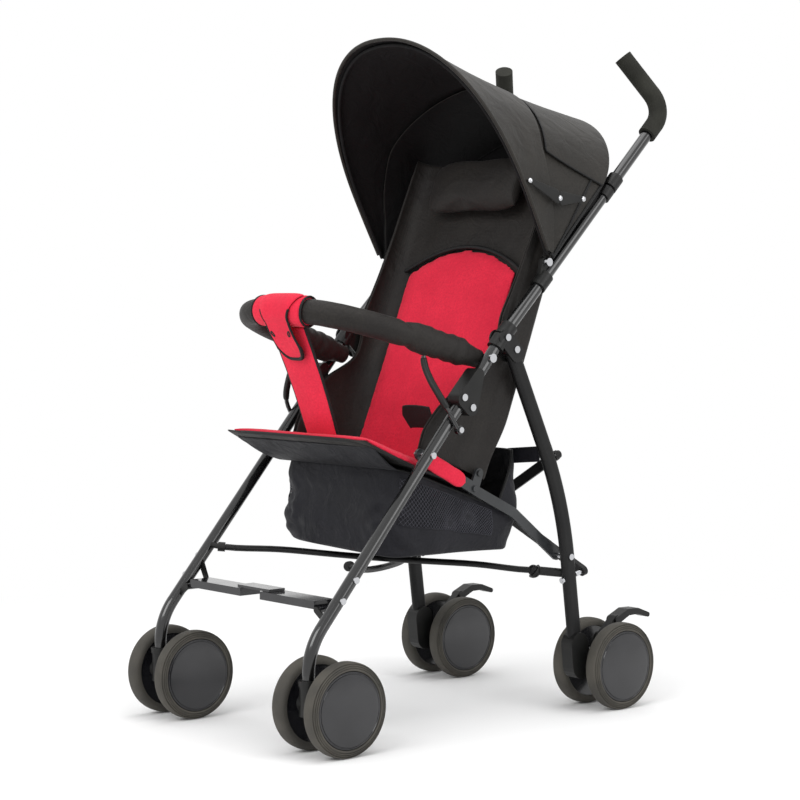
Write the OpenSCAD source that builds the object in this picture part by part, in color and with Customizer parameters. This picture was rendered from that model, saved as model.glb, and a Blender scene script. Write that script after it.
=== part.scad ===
// Umbrella stroller with a folding tube frame, twin wheels, fabric seat and hood.
// Millimetres. +X is the child's left, -Y is the front, +Z is up, the floor is z = 0.

/* [Frame] */
// Distance from the middle plane to each side tube
side_x = 190; // [170:1:210]
// Outer radius of the side tubes
tube_r = 9.5; // [8:0.1:12]
// Wall of the side tubes
tube_wall = 1.5; // [1:0.1:3]
// Length position of the frame joint, where front leg and handle tube meet
joint_y = 14; // [0:1:40]
// Height of the frame joint
joint_z = 602; // [560:1:640]
// Slope of the front leg
leg_angle = 49.6; // [45:0.1:55]
// Slope of the handle tube
handle_angle = 45.3; // [42:0.1:50]
// Bend radius where the front leg turns down to its wheels
leg_bend = 100; // [70:1:130]

/* [Wheels] */
// Tyre radius
wheel_r = 70; // [60:1:80]
// Tyre width
wheel_w = 26; // [20:1:30]
// Distance between the two wheels of a pair
pair_pitch = 74; // [66:1:84]
// Length position of the front axles
front_axle_y = -327.5; // [-345:0.5:-310]
// Length position of the front swivel axis
caster_y = -365.5; // [-380:0.5:-350]
// Length position of the rear axles
rear_axle_y = 242.5; // [225:0.5:260]
// Axle radius
axle_r = 4; // [3:0.1:5]
// Radius of the glossy disc on each wheel
cap_r = 57; // [48:1:60]

/* [Handles] */
// Sideways position of the handle's free end
grip_end_x = 143; // [120:1:180]
// Length position of the handle's free end
grip_end_y = 330; // [310:1:350]
// Height of the handle's free end
grip_end_z = 1060; // [1040:1:1080]
// Bend radius of the handle
grip_bend = 45; // [40:1:60]
// Radius of the foam grip
grip_r = 15; // [13:0.5:17]

/* [Rear legs] */
// Depth of the flat-oval rear leg, seen from the side
rear_deep = 26; // [22:1:30]
// Width of the flat-oval rear leg
rear_wide = 15; // [12:1:18]
// Bow radius of the rear leg
rear_bow = 600; // [400:10:800]
// Length position of the rear leg's foot
foot_y = 181.5; // [170:0.5:190]

/* [Fold] */
// How far each side slides inwards when the stroller is folded
fold_slide = 112; // [90:1:120]

/* [Seat] */
// Half width of the seat at its front edge
seat_half = 176; // [150:1:178]
// Length position of the seat's front edge
seat_front_y = -248; // [-265:1:-230]
// Height of the seat's front edge
seat_front_z = 450; // [430:1:465]
// Thickness of the seat
seat_thick = 20; // [14:1:28]
// Slope of the backrest
back_angle = 68.5; // [60:0.5:75]
// Length of the backrest
back_long = 545; // [440:5:580]

/* [Hood] */
// Height of the hood's side pivot
hood_z = 719; // [700:1:740]
// Length position of the hood's side pivot
hood_y = 106; // [90:1:120]
// Angle of the front bow from straight back
bow_front = 117.3; // [100:0.1:125]
// Angle of the rear bow from straight back
bow_rear = 47; // [40:0.1:60]
// Reach of the front bow from the pivot
bow_reach = 393; // [370:1:410]
// Half width of the front bow
bow_half = 208; // [195:1:215]
// Reach of the rear bow from the pivot
rear_reach = 345; // [320:1:360]

/* [Bumper] */
// How far the bumper bar reaches in front of its pivots
bumper_reach = 268; // [240:1:290]
// How far the bumper bar rises from its pivots to the middle
bumper_rise = 70; // [50:1:90]
// Radius of the padded bar
bumper_r = 20; // [16:0.5:24]

/* [Fits] */
// Radial clearance of a turning pin
run = 0.07; // [0.03:0.01:0.1]
// Gap between two pieces that lie against each other
lay = 0.3; // [0.2:0.05:0.6]

/* [Hidden] */
$fn = 48;
mid_y = 6.5;
swage = 0.1;
poke = 2;
wheel_dx = pair_pitch / 2;
tube_in = tube_r - tube_wall;
fwd_leg = [0, cos(leg_angle), sin(leg_angle)];
fwd_han = [0, cos(handle_angle), sin(handle_angle)];
knee = [side_x, joint_y, joint_z];
elbow = [side_x, caster_y, joint_z - (joint_y - caster_y) * tan(leg_angle)];
hand_bend = knee + fwd_han * ((380 - joint_y) / cos(handle_angle));
hand_end = [grip_end_x, grip_end_y, grip_end_z];
out_han = unit(hand_end - hand_bend);
hand_turn = acos(fwd_han * out_han);
hand_tan = grip_bend * tan(hand_turn / 2);
leg_turn = 90 - leg_angle;
leg_tan = leg_bend * tan(leg_turn / 2);
pivot_y = 34;
pivot_z = 583;
low_angle = 97.2;
top_angle = 115;
rear_turn = top_angle - low_angle;
corner_z = (foot_y + 67 / tan(180 - low_angle) - pivot_y - pivot_z / tan(180 - top_angle))
    / (1 / tan(180 - low_angle) - 1 / tan(180 - top_angle));
corner_y = foot_y - (corner_z - 67) / tan(180 - low_angle);
rear_tan = rear_bow * tan(rear_turn / 2);
low_bolt = [162.7, 216];
top_bolt = [111, 408];
link_bolt = [158.5, 250];
brace_angle = atan2(top_bolt[1] - low_bolt[1], top_bolt[0] - low_bolt[0]);
brace_up = norm(top_bolt - low_bolt);
brace_long = norm([2 * side_x, brace_up]);
layer_in = 18.5;
layer_out = 28.1;
brace_tilt = atan2(brace_up, 2 * side_x);
rail_a = [-135.7, joint_z - (joint_y + 135.7) * tan(leg_angle)];
rail_h = [-25.5, 368];
floor_b = [150, 122, 227];
floor_e = [-158, -262, 266];
floor_t = unit(floor_e - floor_b);
floor_cup = unit([-0.33, -0.56, 0.51]);
foot_y0 = -330;
foot_y1 = -292;
foot_x = 166;
foot_z = 208;
foot_inner = 25;
lever_y = 240;
lever_z = 112;
seat_rear = [-22, 382];
back_foot = [-15.6, 380.1];
bump_y = -15.5;
bump_z = 570.5;

function unit(v) = v / norm(v);
function mix(a, b, t) = a * (1 - t) + b * t;
function sgn_pow(c, e) = sign(c) * pow(abs(c), e);

// places children with their z axis on the line from p to q
module along(p, q) {
    d = q - p;
    translate(p) rotate([0, acos(d[2] / norm(d)), atan2(d[1], d[0])]) children();
}

// a round bar from p to q
module rod(p, q, r) {
    along(p, q) cylinder(r = r, h = norm(q - p));
}

// round wall, a full disc when the wall is 0
module wall2d(r, w) {
    difference() {
        circle(r);
        if (w > 0) circle(r - w);
    }
}

// straight tube from p along u, its seam turned towards e
module straight(p, u, e, h, r, w) {
    y = cross(u, e);
    multmatrix([
        [e[0], y[0], u[0], p[0]],
        [e[1], y[1], u[1], p[1]],
        [e[2], y[2], u[2], p[2]],
        [0, 0, 0, 1]])
        linear_extrude(h) wall2d(r, w);
}

// bent tube that turns from direction u to direction v about the corner b, its wall a little
// thicker than the straight runs that reach into it
module bend(b, u, v, big, r, w) {
    turn = acos(u * v);
    e = unit(v - u * (u * v));
    n = cross(u, e);
    c = b - u * (big * tan(turn / 2)) + e * big;
    multmatrix([
        [-e[0], u[0], n[0], c[0]],
        [-e[1], u[1], n[1], c[1]],
        [-e[2], u[2], n[2], c[2]],
        [0, 0, 0, 1]])
        rotate_extrude(angle = turn) translate([big, 0]) wall2d(r + swage, w > 0 ? w + 2 * swage : 0);
}

// flat shape in the side plane (y, z), extruded across x from a to b
module across(a, b) {
    translate([a, 0, 0]) rotate([90, 0, 90]) linear_extrude(b - a) children();
}

// direction of the outward tangent from disc p to disc q, each given as [y, z, radius]
function tangent_at(p, q) =
    let (d = [q[0] - p[0], q[1] - p[1]])
    atan2(d[1], d[0]) - acos((p[2] - q[2]) / norm(d));

function after(a, b) = b < a ? after(a, b + 360) : (b >= a + 360 ? after(a, b - 360) : b);

// outline that wraps discs given in counter-clockwise order
function wrap(discs, n = 10) = [
    for (i = [0 : len(discs) - 1])
        let (m = len(discs))
        let (a = tangent_at(discs[(i + m - 1) % m], discs[i]))
        let (b = after(a, tangent_at(discs[i], discs[(i + 1) % m])))
        for (k = [0 : n])
            [discs[i][0], discs[i][1]] + discs[i][2] * [cos(a + (b - a) * k / n), sin(a + (b - a) * k / n)]];

// two round ends joined by tangents
module link2d(p, q, ra, rb) {
    polygon(wrap([[p[0], p[1], ra], [q[0], q[1], rb]]));
}

// flat oval, long along x
module oval2d(long, wide) {
    polygon(wrap([[-(long - wide) / 2, 0, wide / 2], [(long - wide) / 2, 0, wide / 2]]));
}

// closed sheet between an outer grid f(u, v) and an inner grid g(u, v)
module slab(f, g, nu, nv) {
    w = nv + 1;
    m = (nu + 1) * w;
    pts = concat(
        [for (i = [0 : nu]) for (j = [0 : nv]) f(i / nu, j / nv)],
        [for (i = [0 : nu]) for (j = [0 : nv]) g(i / nu, j / nv)]);
    top = [for (i = [0 : nu - 1]) for (j = [0 : nv - 1]) each [
        [i * w + j, (i + 1) * w + j, (i + 1) * w + j + 1],
        [i * w + j, (i + 1) * w + j + 1, i * w + j + 1]]];
    low = [for (t = top) [t[0] + m, t[2] + m, t[1] + m]];
    ends = [for (i = [0 : nu - 1]) each concat(
        [for (t = [[i * w, i * w + m, (i + 1) * w + m], [i * w, (i + 1) * w + m, (i + 1) * w]]) t],
        [for (t = [
            [i * w + nv, (i + 1) * w + nv, (i + 1) * w + nv + m],
            [i * w + nv, (i + 1) * w + nv + m, i * w + nv + m]]) t])];
    sides = [for (j = [0 : nv - 1]) each concat(
        [for (t = [[j, j + 1, j + 1 + m], [j, j + 1 + m, j + m]]) t],
        [for (t = [
            [nu * w + j, nu * w + j + 1 + m, nu * w + j + 1],
            [nu * w + j, nu * w + j + m, nu * w + j + 1 + m]]) t])];
    polyhedron(pts, concat(top, low, ends, sides));
}

// tube of oval section swept along a route, solid or hollow
module sweep(route, ra, rb, hole = 0, n = 16, thin = 0) {
    last = len(route) - 1;
    function ease(i) = 1 - thin * pow(max(0, 1 - min(i, last - i) / 4), 2);
    function tangent(i) = unit(route[min(i + 1, last)] - route[max(i - 1, 0)]);
    function ring(i, a, b) =
        let (t = tangent(i))
        let (s = unit(cross([0, 0, 1], t)))
        let (q = cross(t, s))
        [for (k = [0 : n - 1]) route[i] + (s * (a * cos(360 * k / n)) + q * (b * sin(360 * k / n))) * ease(i)];
    outer = [for (i = [0 : last]) each ring(i, ra, rb)];
    m = len(outer);
    inner = hole > 0 ? [for (i = [0 : last]) each ring(i, hole, hole)] : [];
    skin = [for (i = [0 : last - 1]) for (k = [0 : n - 1])
        [i * n + k, i * n + (k + 1) % n, (i + 1) * n + (k + 1) % n, (i + 1) * n + k]];
    lining = hole > 0 ? [for (f = skin) [f[3] + m, f[2] + m, f[1] + m, f[0] + m]] : [];
    caps = hole > 0
        ? [for (k = [0 : n - 1]) each [
            [(k + 1) % n, k, k + m, (k + 1) % n + m],
            [last * n + k, last * n + (k + 1) % n, last * n + (k + 1) % n + m, last * n + k + m]]]
        : [[for (k = [n - 1 : -1 : 0]) k], [for (k = [0 : n - 1]) last * n + k]];
    polyhedron(concat(outer, inner), [for (f = concat(skin, lining, caps)) [for (i = [len(f) - 1 : -1 : 0]) f[i]]]);
}

module right() {
    mirror([1, 0, 0]) children();
}

// front leg: one bent tube from the wheel sleeve to the frame joint
module front_leg() {
    e = unit(fwd_leg - [0, 0, fwd_leg[2]]);
    f = unit(fwd_leg * fwd_leg[2] - [0, 0, 1]);
    top = elbow + fwd_leg * leg_tan;
    color("#1b1b1d") {
        straight([side_x, caster_y, 66], [0, 0, 1], e, elbow[2] - leg_tan - 66 + poke, tube_r, tube_wall);
        bend(elbow, [0, 0, 1], fwd_leg, leg_bend, tube_r, tube_wall);
        straight(top - fwd_leg * poke, fwd_leg, f, norm(knee - top) - 0.6 + poke, tube_r, tube_wall);
    }
}

// the straight run of the front leg, as a bar to cut with
module leg_core(r) {
    rod(elbow + fwd_leg * leg_tan, knee + fwd_leg * 40, r);
}

// the straight run of the handle tube, as a bar to cut with
module handle_core(r) {
    rod(knee - fwd_han * 40, hand_bend - fwd_han * hand_tan, r);
}

// handle tube: straight up from the joint, then bent up, in and forwards
module handle_run(first, last, r, w) {
    e = unit(out_han - fwd_han * (fwd_han * out_han));
    f = unit(out_han * (fwd_han * out_han) - fwd_han);
    a = hand_bend - fwd_han * hand_tan;
    b = hand_bend + out_han * hand_tan;
    straight(a - fwd_han * first, fwd_han, e, first + poke, r, w);
    bend(hand_bend, fwd_han, out_han, grip_bend, r, w);
    straight(b - out_han * poke, out_han, f, norm(hand_end - b) - last + poke, r, w);
}

module handle_tube() {
    color("#1b1b1d")
        handle_run(norm(hand_bend - knee) - hand_tan - 0.6, 6, tube_r, tube_wall);
}

// foam grip: a thick sleeve with a closed end
module handle_grip() {
    f = unit(out_han * (fwd_han * out_han) - fwd_han);
    color("#2a2a28") {
        handle_run(24, 3, grip_r, grip_r - tube_r - 0.3);
        straight(hand_end - out_han * 5, out_han, f, 5, grip_r + swage, 0);
    }
}

// frame joint: a sleeve over both tubes and two ears that hold the rear leg
module frame_joint() {
    e = unit([0, -fwd_leg[2], fwd_leg[1]]);
    g = unit([0, -fwd_han[2], fwd_han[1]]);
    color("#262626") difference() {
        union() {
            straight(knee - fwd_leg * 22, fwd_leg, e, 21.2, 13.5, 3.9);
            straight(knee + fwd_han * 0.8, fwd_han, g, 23, 13.5, 3.9);
            for (s = [-1, 1])
                across(side_x + s * 11.2 - 1.5, side_x + s * 11.2 + 1.5)
                    link2d([joint_y - 1, joint_z - 2], [pivot_y + 2, pivot_z - 6], 14, 14);
        }
        across(side_x - 20, side_x + 20) translate([pivot_y, pivot_z]) circle(axle_r + 0.05);
    }
}

// lock housing: a shield-shaped block around the front leg
module lock_housing() {
    color("#20201f") difference() {
        across(side_x - 12, side_x + 13.5) {
            polygon(wrap([[-60, 496, 13], [-44, 546, 9.5], [-74, 509, 13]]));
        }
        leg_core(tube_r + 0.1);
    }
}

// collars on the handle tube: the hood clamp below, a stop ring above
module tube_collars() {
    clamp = knee + fwd_han * 122;
    stop = knee + fwd_han * 347;
    color("#232323") difference() {
        union() {
            rod(clamp - fwd_han * 13, clamp + fwd_han * 13, 13);
            rod(stop - fwd_han * 12, stop + fwd_han * 12, 12.8);
            rod(stop - fwd_han * 34, stop - fwd_han * 16, 12.4);
            across(side_x - 4, side_x + 4) link2d([clamp[1], clamp[2]], [hood_y, hood_z], 9, 9);
        }
        handle_core(tube_r + 0.1);
    }
}

// bumper stay: a thin bent rod from the padded bar to an eye on the outside of the front leg
function stay_at(t) =
    let (k = min(1, t / 0.86))
    [mix(161, side_x + tube_r + 3.9, k * k * (3 - 2 * k)),
     -121 + 21 * t * t + 12 * pow(t, 4),
     575.2 - 112 * t];

module bumper_stay() {
    color("#161616") sweep([for (i = [0 : 16]) stay_at(i / 16)], 3.6, 3.6, 0, 12);
    color("#161616") across(side_x + tube_r + 0.2, side_x + tube_r + 6.5) translate([-86, 463]) circle(7);
}

// steel bolts on the side frame, as heads on the surface, and the rear leg's pivot pin
module frame_bolts() {
    color("#c9c9cc") {
        across(side_x - 14.5, side_x + 14.5) translate([pivot_y, pivot_z]) circle(axle_r);
        across(side_x + 12.8, side_x + 15) translate([pivot_y, pivot_z]) circle(5.5);
        across(side_x + 13.6, side_x + 16) translate([joint_y, joint_z]) circle(5.5);
        across(side_x + 13.6, side_x + 16) translate([-76, 512]) circle(5.5);
        across(side_x + 13.6, side_x + 16) translate([-59, 496]) circle(5.5);
        across(side_x + tube_r, side_x + tube_r + 4) translate([bump_y, bump_z]) circle(7);
        across(side_x + 4.1, side_x + 11.8) translate([hood_y, hood_z]) circle(6.5);
        across(side_x + tube_r + 7.7, side_x + tube_r + 10) translate([-86, 463]) circle(4.5);
        across(side_x + tube_r, side_x + tube_r + 3) translate(rail_a) circle(5);
        across(side_x - 30, side_x - tube_r) translate(rail_a) circle(axle_r);
        across(side_x + tube_r + 0.1, side_x + tube_r + 3) translate([-310, 222]) circle(5);
        across(side_x + tube_r, side_x + tube_r + 3) translate([-285, 250.7]) circle(5);
    }
}

// flat shape seen from the front (x, z), extruded along y from a to b
module lengthwise(a, b) {
    translate([0, b, 0]) rotate([90, 0, 0]) linear_extrude(b - a) children();
}

// knob that the other side's floor brace rests against, and the footrest's hinge bracket
module floor_clevis() {
    out = [-floor_t[0], floor_t[1], floor_t[2]];
    knob = [-floor_e[0], floor_e[1], floor_e[2]] + out * 6;
    color("#1d1d1d") difference() {
        union() {
            rod(knob, [side_x - 7, -270.5, 268], 4.6);
            rod(knob - out * 5.5, knob + out * 6, 7.5);
        }
        leg_core(tube_r + 0.1);
    }
    color("#1d1d1d") difference() {
        union() {
            rod([foot_x, foot_y0 - 3.3, foot_z], [foot_x, foot_y1 + 3.3, foot_z], 2.5);
            lengthwise(foot_y0 - 3.3, foot_y0 - lay) link2d([foot_x, foot_z], [side_x - 6, foot_z - 12], 5, 5);
            lengthwise(foot_y1 + lay, foot_y1 + 3.3) link2d([foot_x, foot_z], [side_x - 6, foot_z + 33], 5, 6);
        }
        leg_core(tube_r + 0.1);
    }
}

// swivel fork of a front wheel pair
module caster_fork() {
    color("#1e1e1e") difference() {
        union() {
            translate([side_x, caster_y, 60]) cylinder(r = 13.5, h = 52);
            translate([side_x, caster_y, 104]) cylinder(r = 15, h = 8);
            across(side_x - 12, side_x + 12) {
                link2d([caster_y, 78], [front_axle_y, 70], 13, 15);
                link2d([caster_y, 96], [front_axle_y, 70], 8, 15);
            }
            across(side_x - 23.4, side_x + 23.4) translate([front_axle_y, 70]) circle(10);
        }
        translate([side_x, caster_y, 65.5]) cylinder(r = tube_r + run, h = 80);
        across(side_x - 60, side_x + 60) translate([front_axle_y, 70]) circle(axle_r + 0.02);
    }
}

module front_axle() {
    color("#9a9a9c") across(side_x - wheel_dx - 8, side_x + wheel_dx + 8)
        translate([front_axle_y, 70]) circle(axle_r);
}

// one wheel on an axle at y, z, its cap facing the side given by s
module wheel(x, y, s) {
    h = wheel_w / 2;
    translate([x, y, wheel_r]) rotate([0, 90, 0]) {
        color("#55554f") rotate_extrude($fn = 72) polygon([
            [cap_r + 0.4, -h + 3], [cap_r + 2, -h], [wheel_r - 5, -h], [wheel_r - 2, -h + 2],
            [wheel_r, -h + 6], [wheel_r, -h + 10], [wheel_r - 1.2, -h + 10.6],
            [wheel_r - 1.2, -h + 11.4], [wheel_r, -h + 12], [wheel_r, h - 12],
            [wheel_r - 1.2, h - 11.4], [wheel_r - 1.2, h - 10.6], [wheel_r, h - 10],
            [wheel_r, h - 6], [wheel_r - 2, h - 2], [wheel_r - 5, h], [cap_r + 2, h], [cap_r + 0.4, h - 3]]);
        color("#5a5a5d") rotate_extrude($fn = 72) polygon([
            [axle_r + run, -s * h], [22, -s * h], [26, -s * (h - 6)], [cap_r - 4, -s * (h - 6)],
            [cap_r, -s * (h - 4)], [cap_r + 0.3, -s * (h - 6)], [cap_r + 0.3, s * (h - 4)],
            [cap_r - 1, s * (h - 2)], [cap_r - 4, s * (h - 1.6)], [30, s * (h + 0.4)], [0.01, s * (h + 1)],
            [0.01, s * (h - 3)], [axle_r + run, s * (h - 3)]]);
    }
}

// flat-oval wall, full when the wall is 0
module oval_wall(deep, wide, w) {
    difference() {
        oval2d(deep, wide);
        if (w > 0) oval2d(deep - 2 * w, wide - 2 * w);
    }
}

up_low = [0, cos(low_angle), sin(low_angle)];
up_top = [0, cos(top_angle), sin(top_angle)];
bow_a = [side_x, corner_y, corner_z] - up_low * rear_tan;
bow_b = [side_x, corner_y, corner_z] + up_top * rear_tan;
leg_top = [side_x, pivot_y, pivot_z];

function leg_at(z) = [side_x, foot_y - (z - 67) / tan(180 - low_angle), z];

// rear leg: straight below, bowed in the middle, straight above, with a solid pivot end
module rear_leg() {
    bow_mid = [side_x, bow_a[1] - rear_bow * sin(low_angle), bow_a[2] + rear_bow * cos(low_angle)];
    neck = leg_top - up_top * 20;
    color("#1a1a1b") difference() {
        union() {
            along(leg_at(70), bow_a)
                linear_extrude(norm(bow_a - leg_at(70)) + poke) oval_wall(rear_deep, rear_wide, 1.6);
            translate(bow_mid) rotate([90, 0, 90]) rotate([0, 0, low_angle - 90])
                rotate_extrude(angle = rear_turn, $fn = 180) translate([rear_bow, 0])
                    oval_wall(rear_deep + 2 * swage, rear_wide + 2 * swage, 1.6 + 2 * swage);
            along(bow_b - up_top * poke, neck)
                linear_extrude(norm(neck - bow_b) + poke + 4) oval_wall(rear_deep, rear_wide, 1.6);
            along(neck, leg_top) linear_extrude(20) oval2d(rear_deep + 2 * swage, rear_wide + 2 * swage);
            across(side_x - 9.3, side_x + 9.3) translate([pivot_y, pivot_z]) circle(rear_deep / 2 + 0.4);
        }
        across(side_x - 20, side_x + 20) translate([pivot_y, pivot_z]) circle(axle_r + run);
    }
}

// rear wheel housing: a sleeve on the leg, a web back to the axle and two ears for the brake lever;
// higher up, the cup that holds the floor brace's ball end
module rear_housing() {
    color("#1e1e1e") difference() {
        union() {
            across(side_x - 12, side_x + 12) {
                link2d([foot_y - 5, 108], [foot_y, 72], 19, 20);
                link2d([foot_y + 2, 76], [rear_axle_y, 70], 20, 15);
            }
            across(side_x - 23.4, side_x + 23.4) translate([rear_axle_y, 70]) circle(10);
            for (s = [-1, 1]) across(side_x + s * 10 - 2, side_x + s * 10 + 2)
                link2d([rear_axle_y - 12, 78], [lever_y, lever_z], 12, 8);
        }
        along(leg_at(69.9), leg_at(160)) linear_extrude(120) oval2d(rear_deep + 0.06, rear_wide + 0.06);
        across(side_x - 60, side_x + 60) translate([rear_axle_y, 70]) circle(axle_r + 0.02);
        across(side_x - 60, side_x + 60) translate([lever_y, lever_z]) circle(3.02);
        across(side_x - 7.9, side_x + 7.9) translate([lever_y, lever_z]) circle(12.5);
    }
    color("#1e1e1e") difference() {
        union() {
            rod(floor_b, [side_x - 4, 166, 221.6], 7);
            translate(floor_b) sphere(12.5);
        }
        translate(floor_b) sphere(9.4);
        along(floor_b - floor_cup * 1.5, floor_b + floor_cup * 30) cylinder(r = 40, h = 40);
        along(leg_at(70), leg_at(160)) linear_extrude(240) oval2d(rear_deep + 0.2, rear_wide + 0.2);
    }
}

// places children on the rear leg's brace plane: x across, y up the leg, z backwards
module brace_plane() {
    translate([0, low_bolt[0], low_bolt[1]])
        multmatrix([
            [-1, 0, 0, 0],
            [0, cos(brace_angle), sin(brace_angle), 0],
            [0, sin(brace_angle), -cos(brace_angle), 0],
            [0, 0, 0, 1]])
        children();
}

// axle, lever pin, brace pins and bolt heads of one rear leg; the lower brace pin reaches its own layer
module leg_steel(layer) {
    color("#b9b9bc") {
        across(side_x - wheel_dx - 8, side_x + wheel_dx + 8) translate([rear_axle_y, 70]) circle(axle_r);
        across(side_x - 12, side_x + 12) translate([lever_y, lever_z]) circle(3);
        brace_plane() translate([-side_x, 0, 13.9]) cylinder(r = axle_r, h = layer - 13.9 + 11);
        brace_plane() translate([-side_x, 0, -17.2]) cylinder(r = 5, h = 3);
        brace_plane() translate([-side_x, brace_up, 17.72])
            cylinder(r = 4.5, h = layer_in + layer_out - layer - 17.72 - lay);
        across(side_x + rear_wide / 2 + 0.15, side_x + rear_wide / 2 + 3) translate(link_bolt) circle(5);
        across(side_x - 30, side_x - rear_wide / 2 - 0.15) translate(link_bolt) circle(axle_r);
    }
}

// brake lever: a curved tongue between the two rear wheels
module brake_lever() {
    color("#2b2b2b") difference() {
        union() {
            across(side_x - 7.5, side_x + 7.5) {
                link2d([lever_y, lever_z], [268, 139], 8, 7);
            }
            across(side_x - 11, side_x + 11) {
                link2d([266, 138], [290, 149], 6, 5.5);
                link2d([290, 149], [312, 149], 5.5, 5);
                link2d([312, 149], [336, 141], 5, 4);
            }
        }
        across(side_x - 20, side_x + 20) translate([lever_y, lever_z]) circle(3 + run);
    }
}

// seat rail: flat bar from the front leg to the seat hinge, with the backrest ear
module seat_rail() {
    color("#232325") difference() {
        across(side_x - 23, side_x - 18) {
            link2d(rail_a, rail_h, 9, 9);
            link2d(rail_h, [-15.5, 391.5], 9, 8);
        }
        across(side_x - 40, side_x) translate(rail_a) circle(axle_r + run);
    }
    color("#c9c9cc") across(side_x - 17.9, side_x - 15) translate([-15.5, 391.5]) circle(5);
    color("#c9c9cc") across(side_x - 17.9, side_x - 15) translate(rail_h) circle(5);
}

// seat link: flat bar from the seat hinge to the rear leg
module seat_link() {
    hump = mix(rail_h, link_bolt, 0.45) + [6, 10];
    color("#47474a") difference() {
        across(side_x - 28.6, side_x - 23.6) {
            link2d(rail_h, hump, 8, 8);
            link2d(hump, link_bolt, 8, 8);
        }
        across(side_x - 40, side_x) translate(link_bolt) circle(axle_r + run);
    }
}

// rear brace: flat bar from one rear leg's lower pin across to the other leg, in its own layer
module rear_brace(layer) {
    color("#202022") brace_plane() translate([-side_x, 0, layer]) rotate([0, 0, brace_tilt])
        linear_extrude(8) difference() {
            link2d([0, 0], [brace_long - 3, 0], 8, 8);
            circle(axle_r + run);
        }
    color("#202022") brace_plane() translate([-side_x, 0, layer + 7]) rotate([0, 0, brace_tilt])
        translate([brace_long - 3, 0, 0]) cylinder(r = 6.4, h = 6);
}

// pedal that frees the fold, on the left rear brace
module fold_pedal() {
    color("#2a2a2a") brace_plane() translate([-side_x, 0, layer_out]) rotate([0, 0, brace_tilt])
        translate([84, 0, 8 + lay]) rotate([0, 90, 0]) linear_extrude(34)
            link2d([-4.6, -2], [-40, -38], 4.5, 4);
}

// floor brace: flat-oval bar from a rear leg to the other front leg, stepped over or under its twin
module floor_brace(step) {
    long = norm(floor_e - floor_b);
    color("#1c1c1e") {
        sweep([for (i = [0 : 28]) let (t = i / 28)
            floor_b + floor_t * (6 + (long - 6) * t)
                + [0, 0, step * (1 - pow(cos(180 * t), 12)) - 6 * sin(180 * t)]],
            8, 5, 0, 14);
        translate(floor_b) sphere(9);
    }
}

// one half of the footrest: a plank on a knuckle beside the leg, with a lap plate on the left half
module footrest(lap) {
    wide = foot_y1 - foot_y0;
    color("#232324") difference() {
        union() {
            translate([foot_inner, foot_y0, foot_z]) cube([foot_x - foot_inner - 8, wide, 12]);
            translate([foot_x, foot_y0, foot_z]) rotate([-90, 0, 0]) cylinder(r = 5, h = wide);
            translate([foot_x - 10, foot_y0 + 1, foot_z - 2]) cube([7, wide - 2, 5]);
            if (lap) translate([-foot_inner - 12, foot_y0 + 4, foot_z + 12.4])
                cube([2 * foot_inner + 30, wide - 8, 4]);
            if (lap) translate([foot_inner + 2, foot_y0 + 4, foot_z + 11])
                cube([14, wide - 8, 3]);
        }
        translate([foot_x, foot_y0 - 1, foot_z]) rotate([-90, 0, 0]) cylinder(r = 2.5 + run, h = wide + 2);
    }
}

// seat base: a padded board that slopes down to the back
function seat_pt(u, v, s) =
    let (y = mix(seat_front_y, seat_rear[0], v))
    let (wide = v < 0.42 ? seat_half : mix(seat_half, 166.4, min(1, (v - 0.42) / 0.08)))
    let (half = mix(wide, 160.4, max(0, min(1, (y + 54) / 12))))
    let (x = (2 * u - 1) * half)
    let (edge = pow(abs(2 * u - 1), 6))
    let (z = mix(seat_front_z, seat_rear[1], v) - seat_thick / 2 + 9 * sin(180 * v) * (1 - edge))
    [x, y, z + s * (seat_thick / 2) * (1 - 0.55 * edge) * (1 - 0.6 * pow(1 - min(1, v * 5), 2))];

module seat_base() {
    color("#d8283f") slab(
        function (u, v) seat_pt(u, v, -1),
        function (u, v) seat_pt(u, v, 1), 18, 12);
}

// backrest: a flat middle with wings that turn forwards to the tubes
function back_pt(u, v, s) =
    let (w = 2 * u - 1)
    let (a = abs(w))
    let (wing = a < 0.6 ? 0 : (a - 0.6) / 0.4)
    let (x = sign(w) * (a < 0.6 ? 108 * a / 0.6 : mix(108, 162, wing)))
    let (ahead = mix(86, 34, min(1, 2 * v)) * pow(wing, 1.6) + 5 * (1 - pow(a, 2)) * sin(180 * v))
    let (h = back_long * v + 5 * sqrt(wing) * (1 - v))
    [x + s * 2.5 * sign(w) * wing,
     back_foot[0] + h * cos(back_angle) - (ahead - s * 7) * sin(back_angle),
     back_foot[1] + h * sin(back_angle) + (ahead - s * 7) * cos(back_angle)];

module backrest() {
    color("#d8283f") slab(
        function (u, v) back_pt(u, v, 1),
        function (u, v) back_pt(u, v, -1), 20, 13);
}

// head pillow: a soft roll on the upper backrest
function pillow_pt(u, v, s) =
    let (a = 2 * u - 1)
    let (b = 2 * v - 1)
    let (full = sqrt(max(0, 1 - pow(abs(a), 4))) * sqrt(max(0, 1 - pow(abs(b), 3))))
    let (ahead = 26 + s * (3 + 14 * full))
    let (h = 492 + 46 * b * (1 - 0.25 * pow(abs(a), 4)))
    [a * 104,
     back_foot[0] + h * cos(back_angle) - ahead * sin(back_angle),
     back_foot[1] + h * sin(back_angle) + ahead * cos(back_angle)];

module head_pillow() {
    color("#141314") slab(
        function (u, v) pillow_pt(u, v, -1),
        function (u, v) pillow_pt(u, v, 1), 16, 12);
}

// padded bumper bar in a rounded U
function bump_pt(t) =
    let (c = cos(180 * t))
    let (s = sin(180 * t))
    [(side_x - 24.7) * sgn_pow(c, 0.62),
     bump_y + 2 - (bumper_reach + 2) * pow(s, 0.8),
     bump_z - 2 + (bumper_rise + 2) * pow(s, 0.8)];

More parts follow.
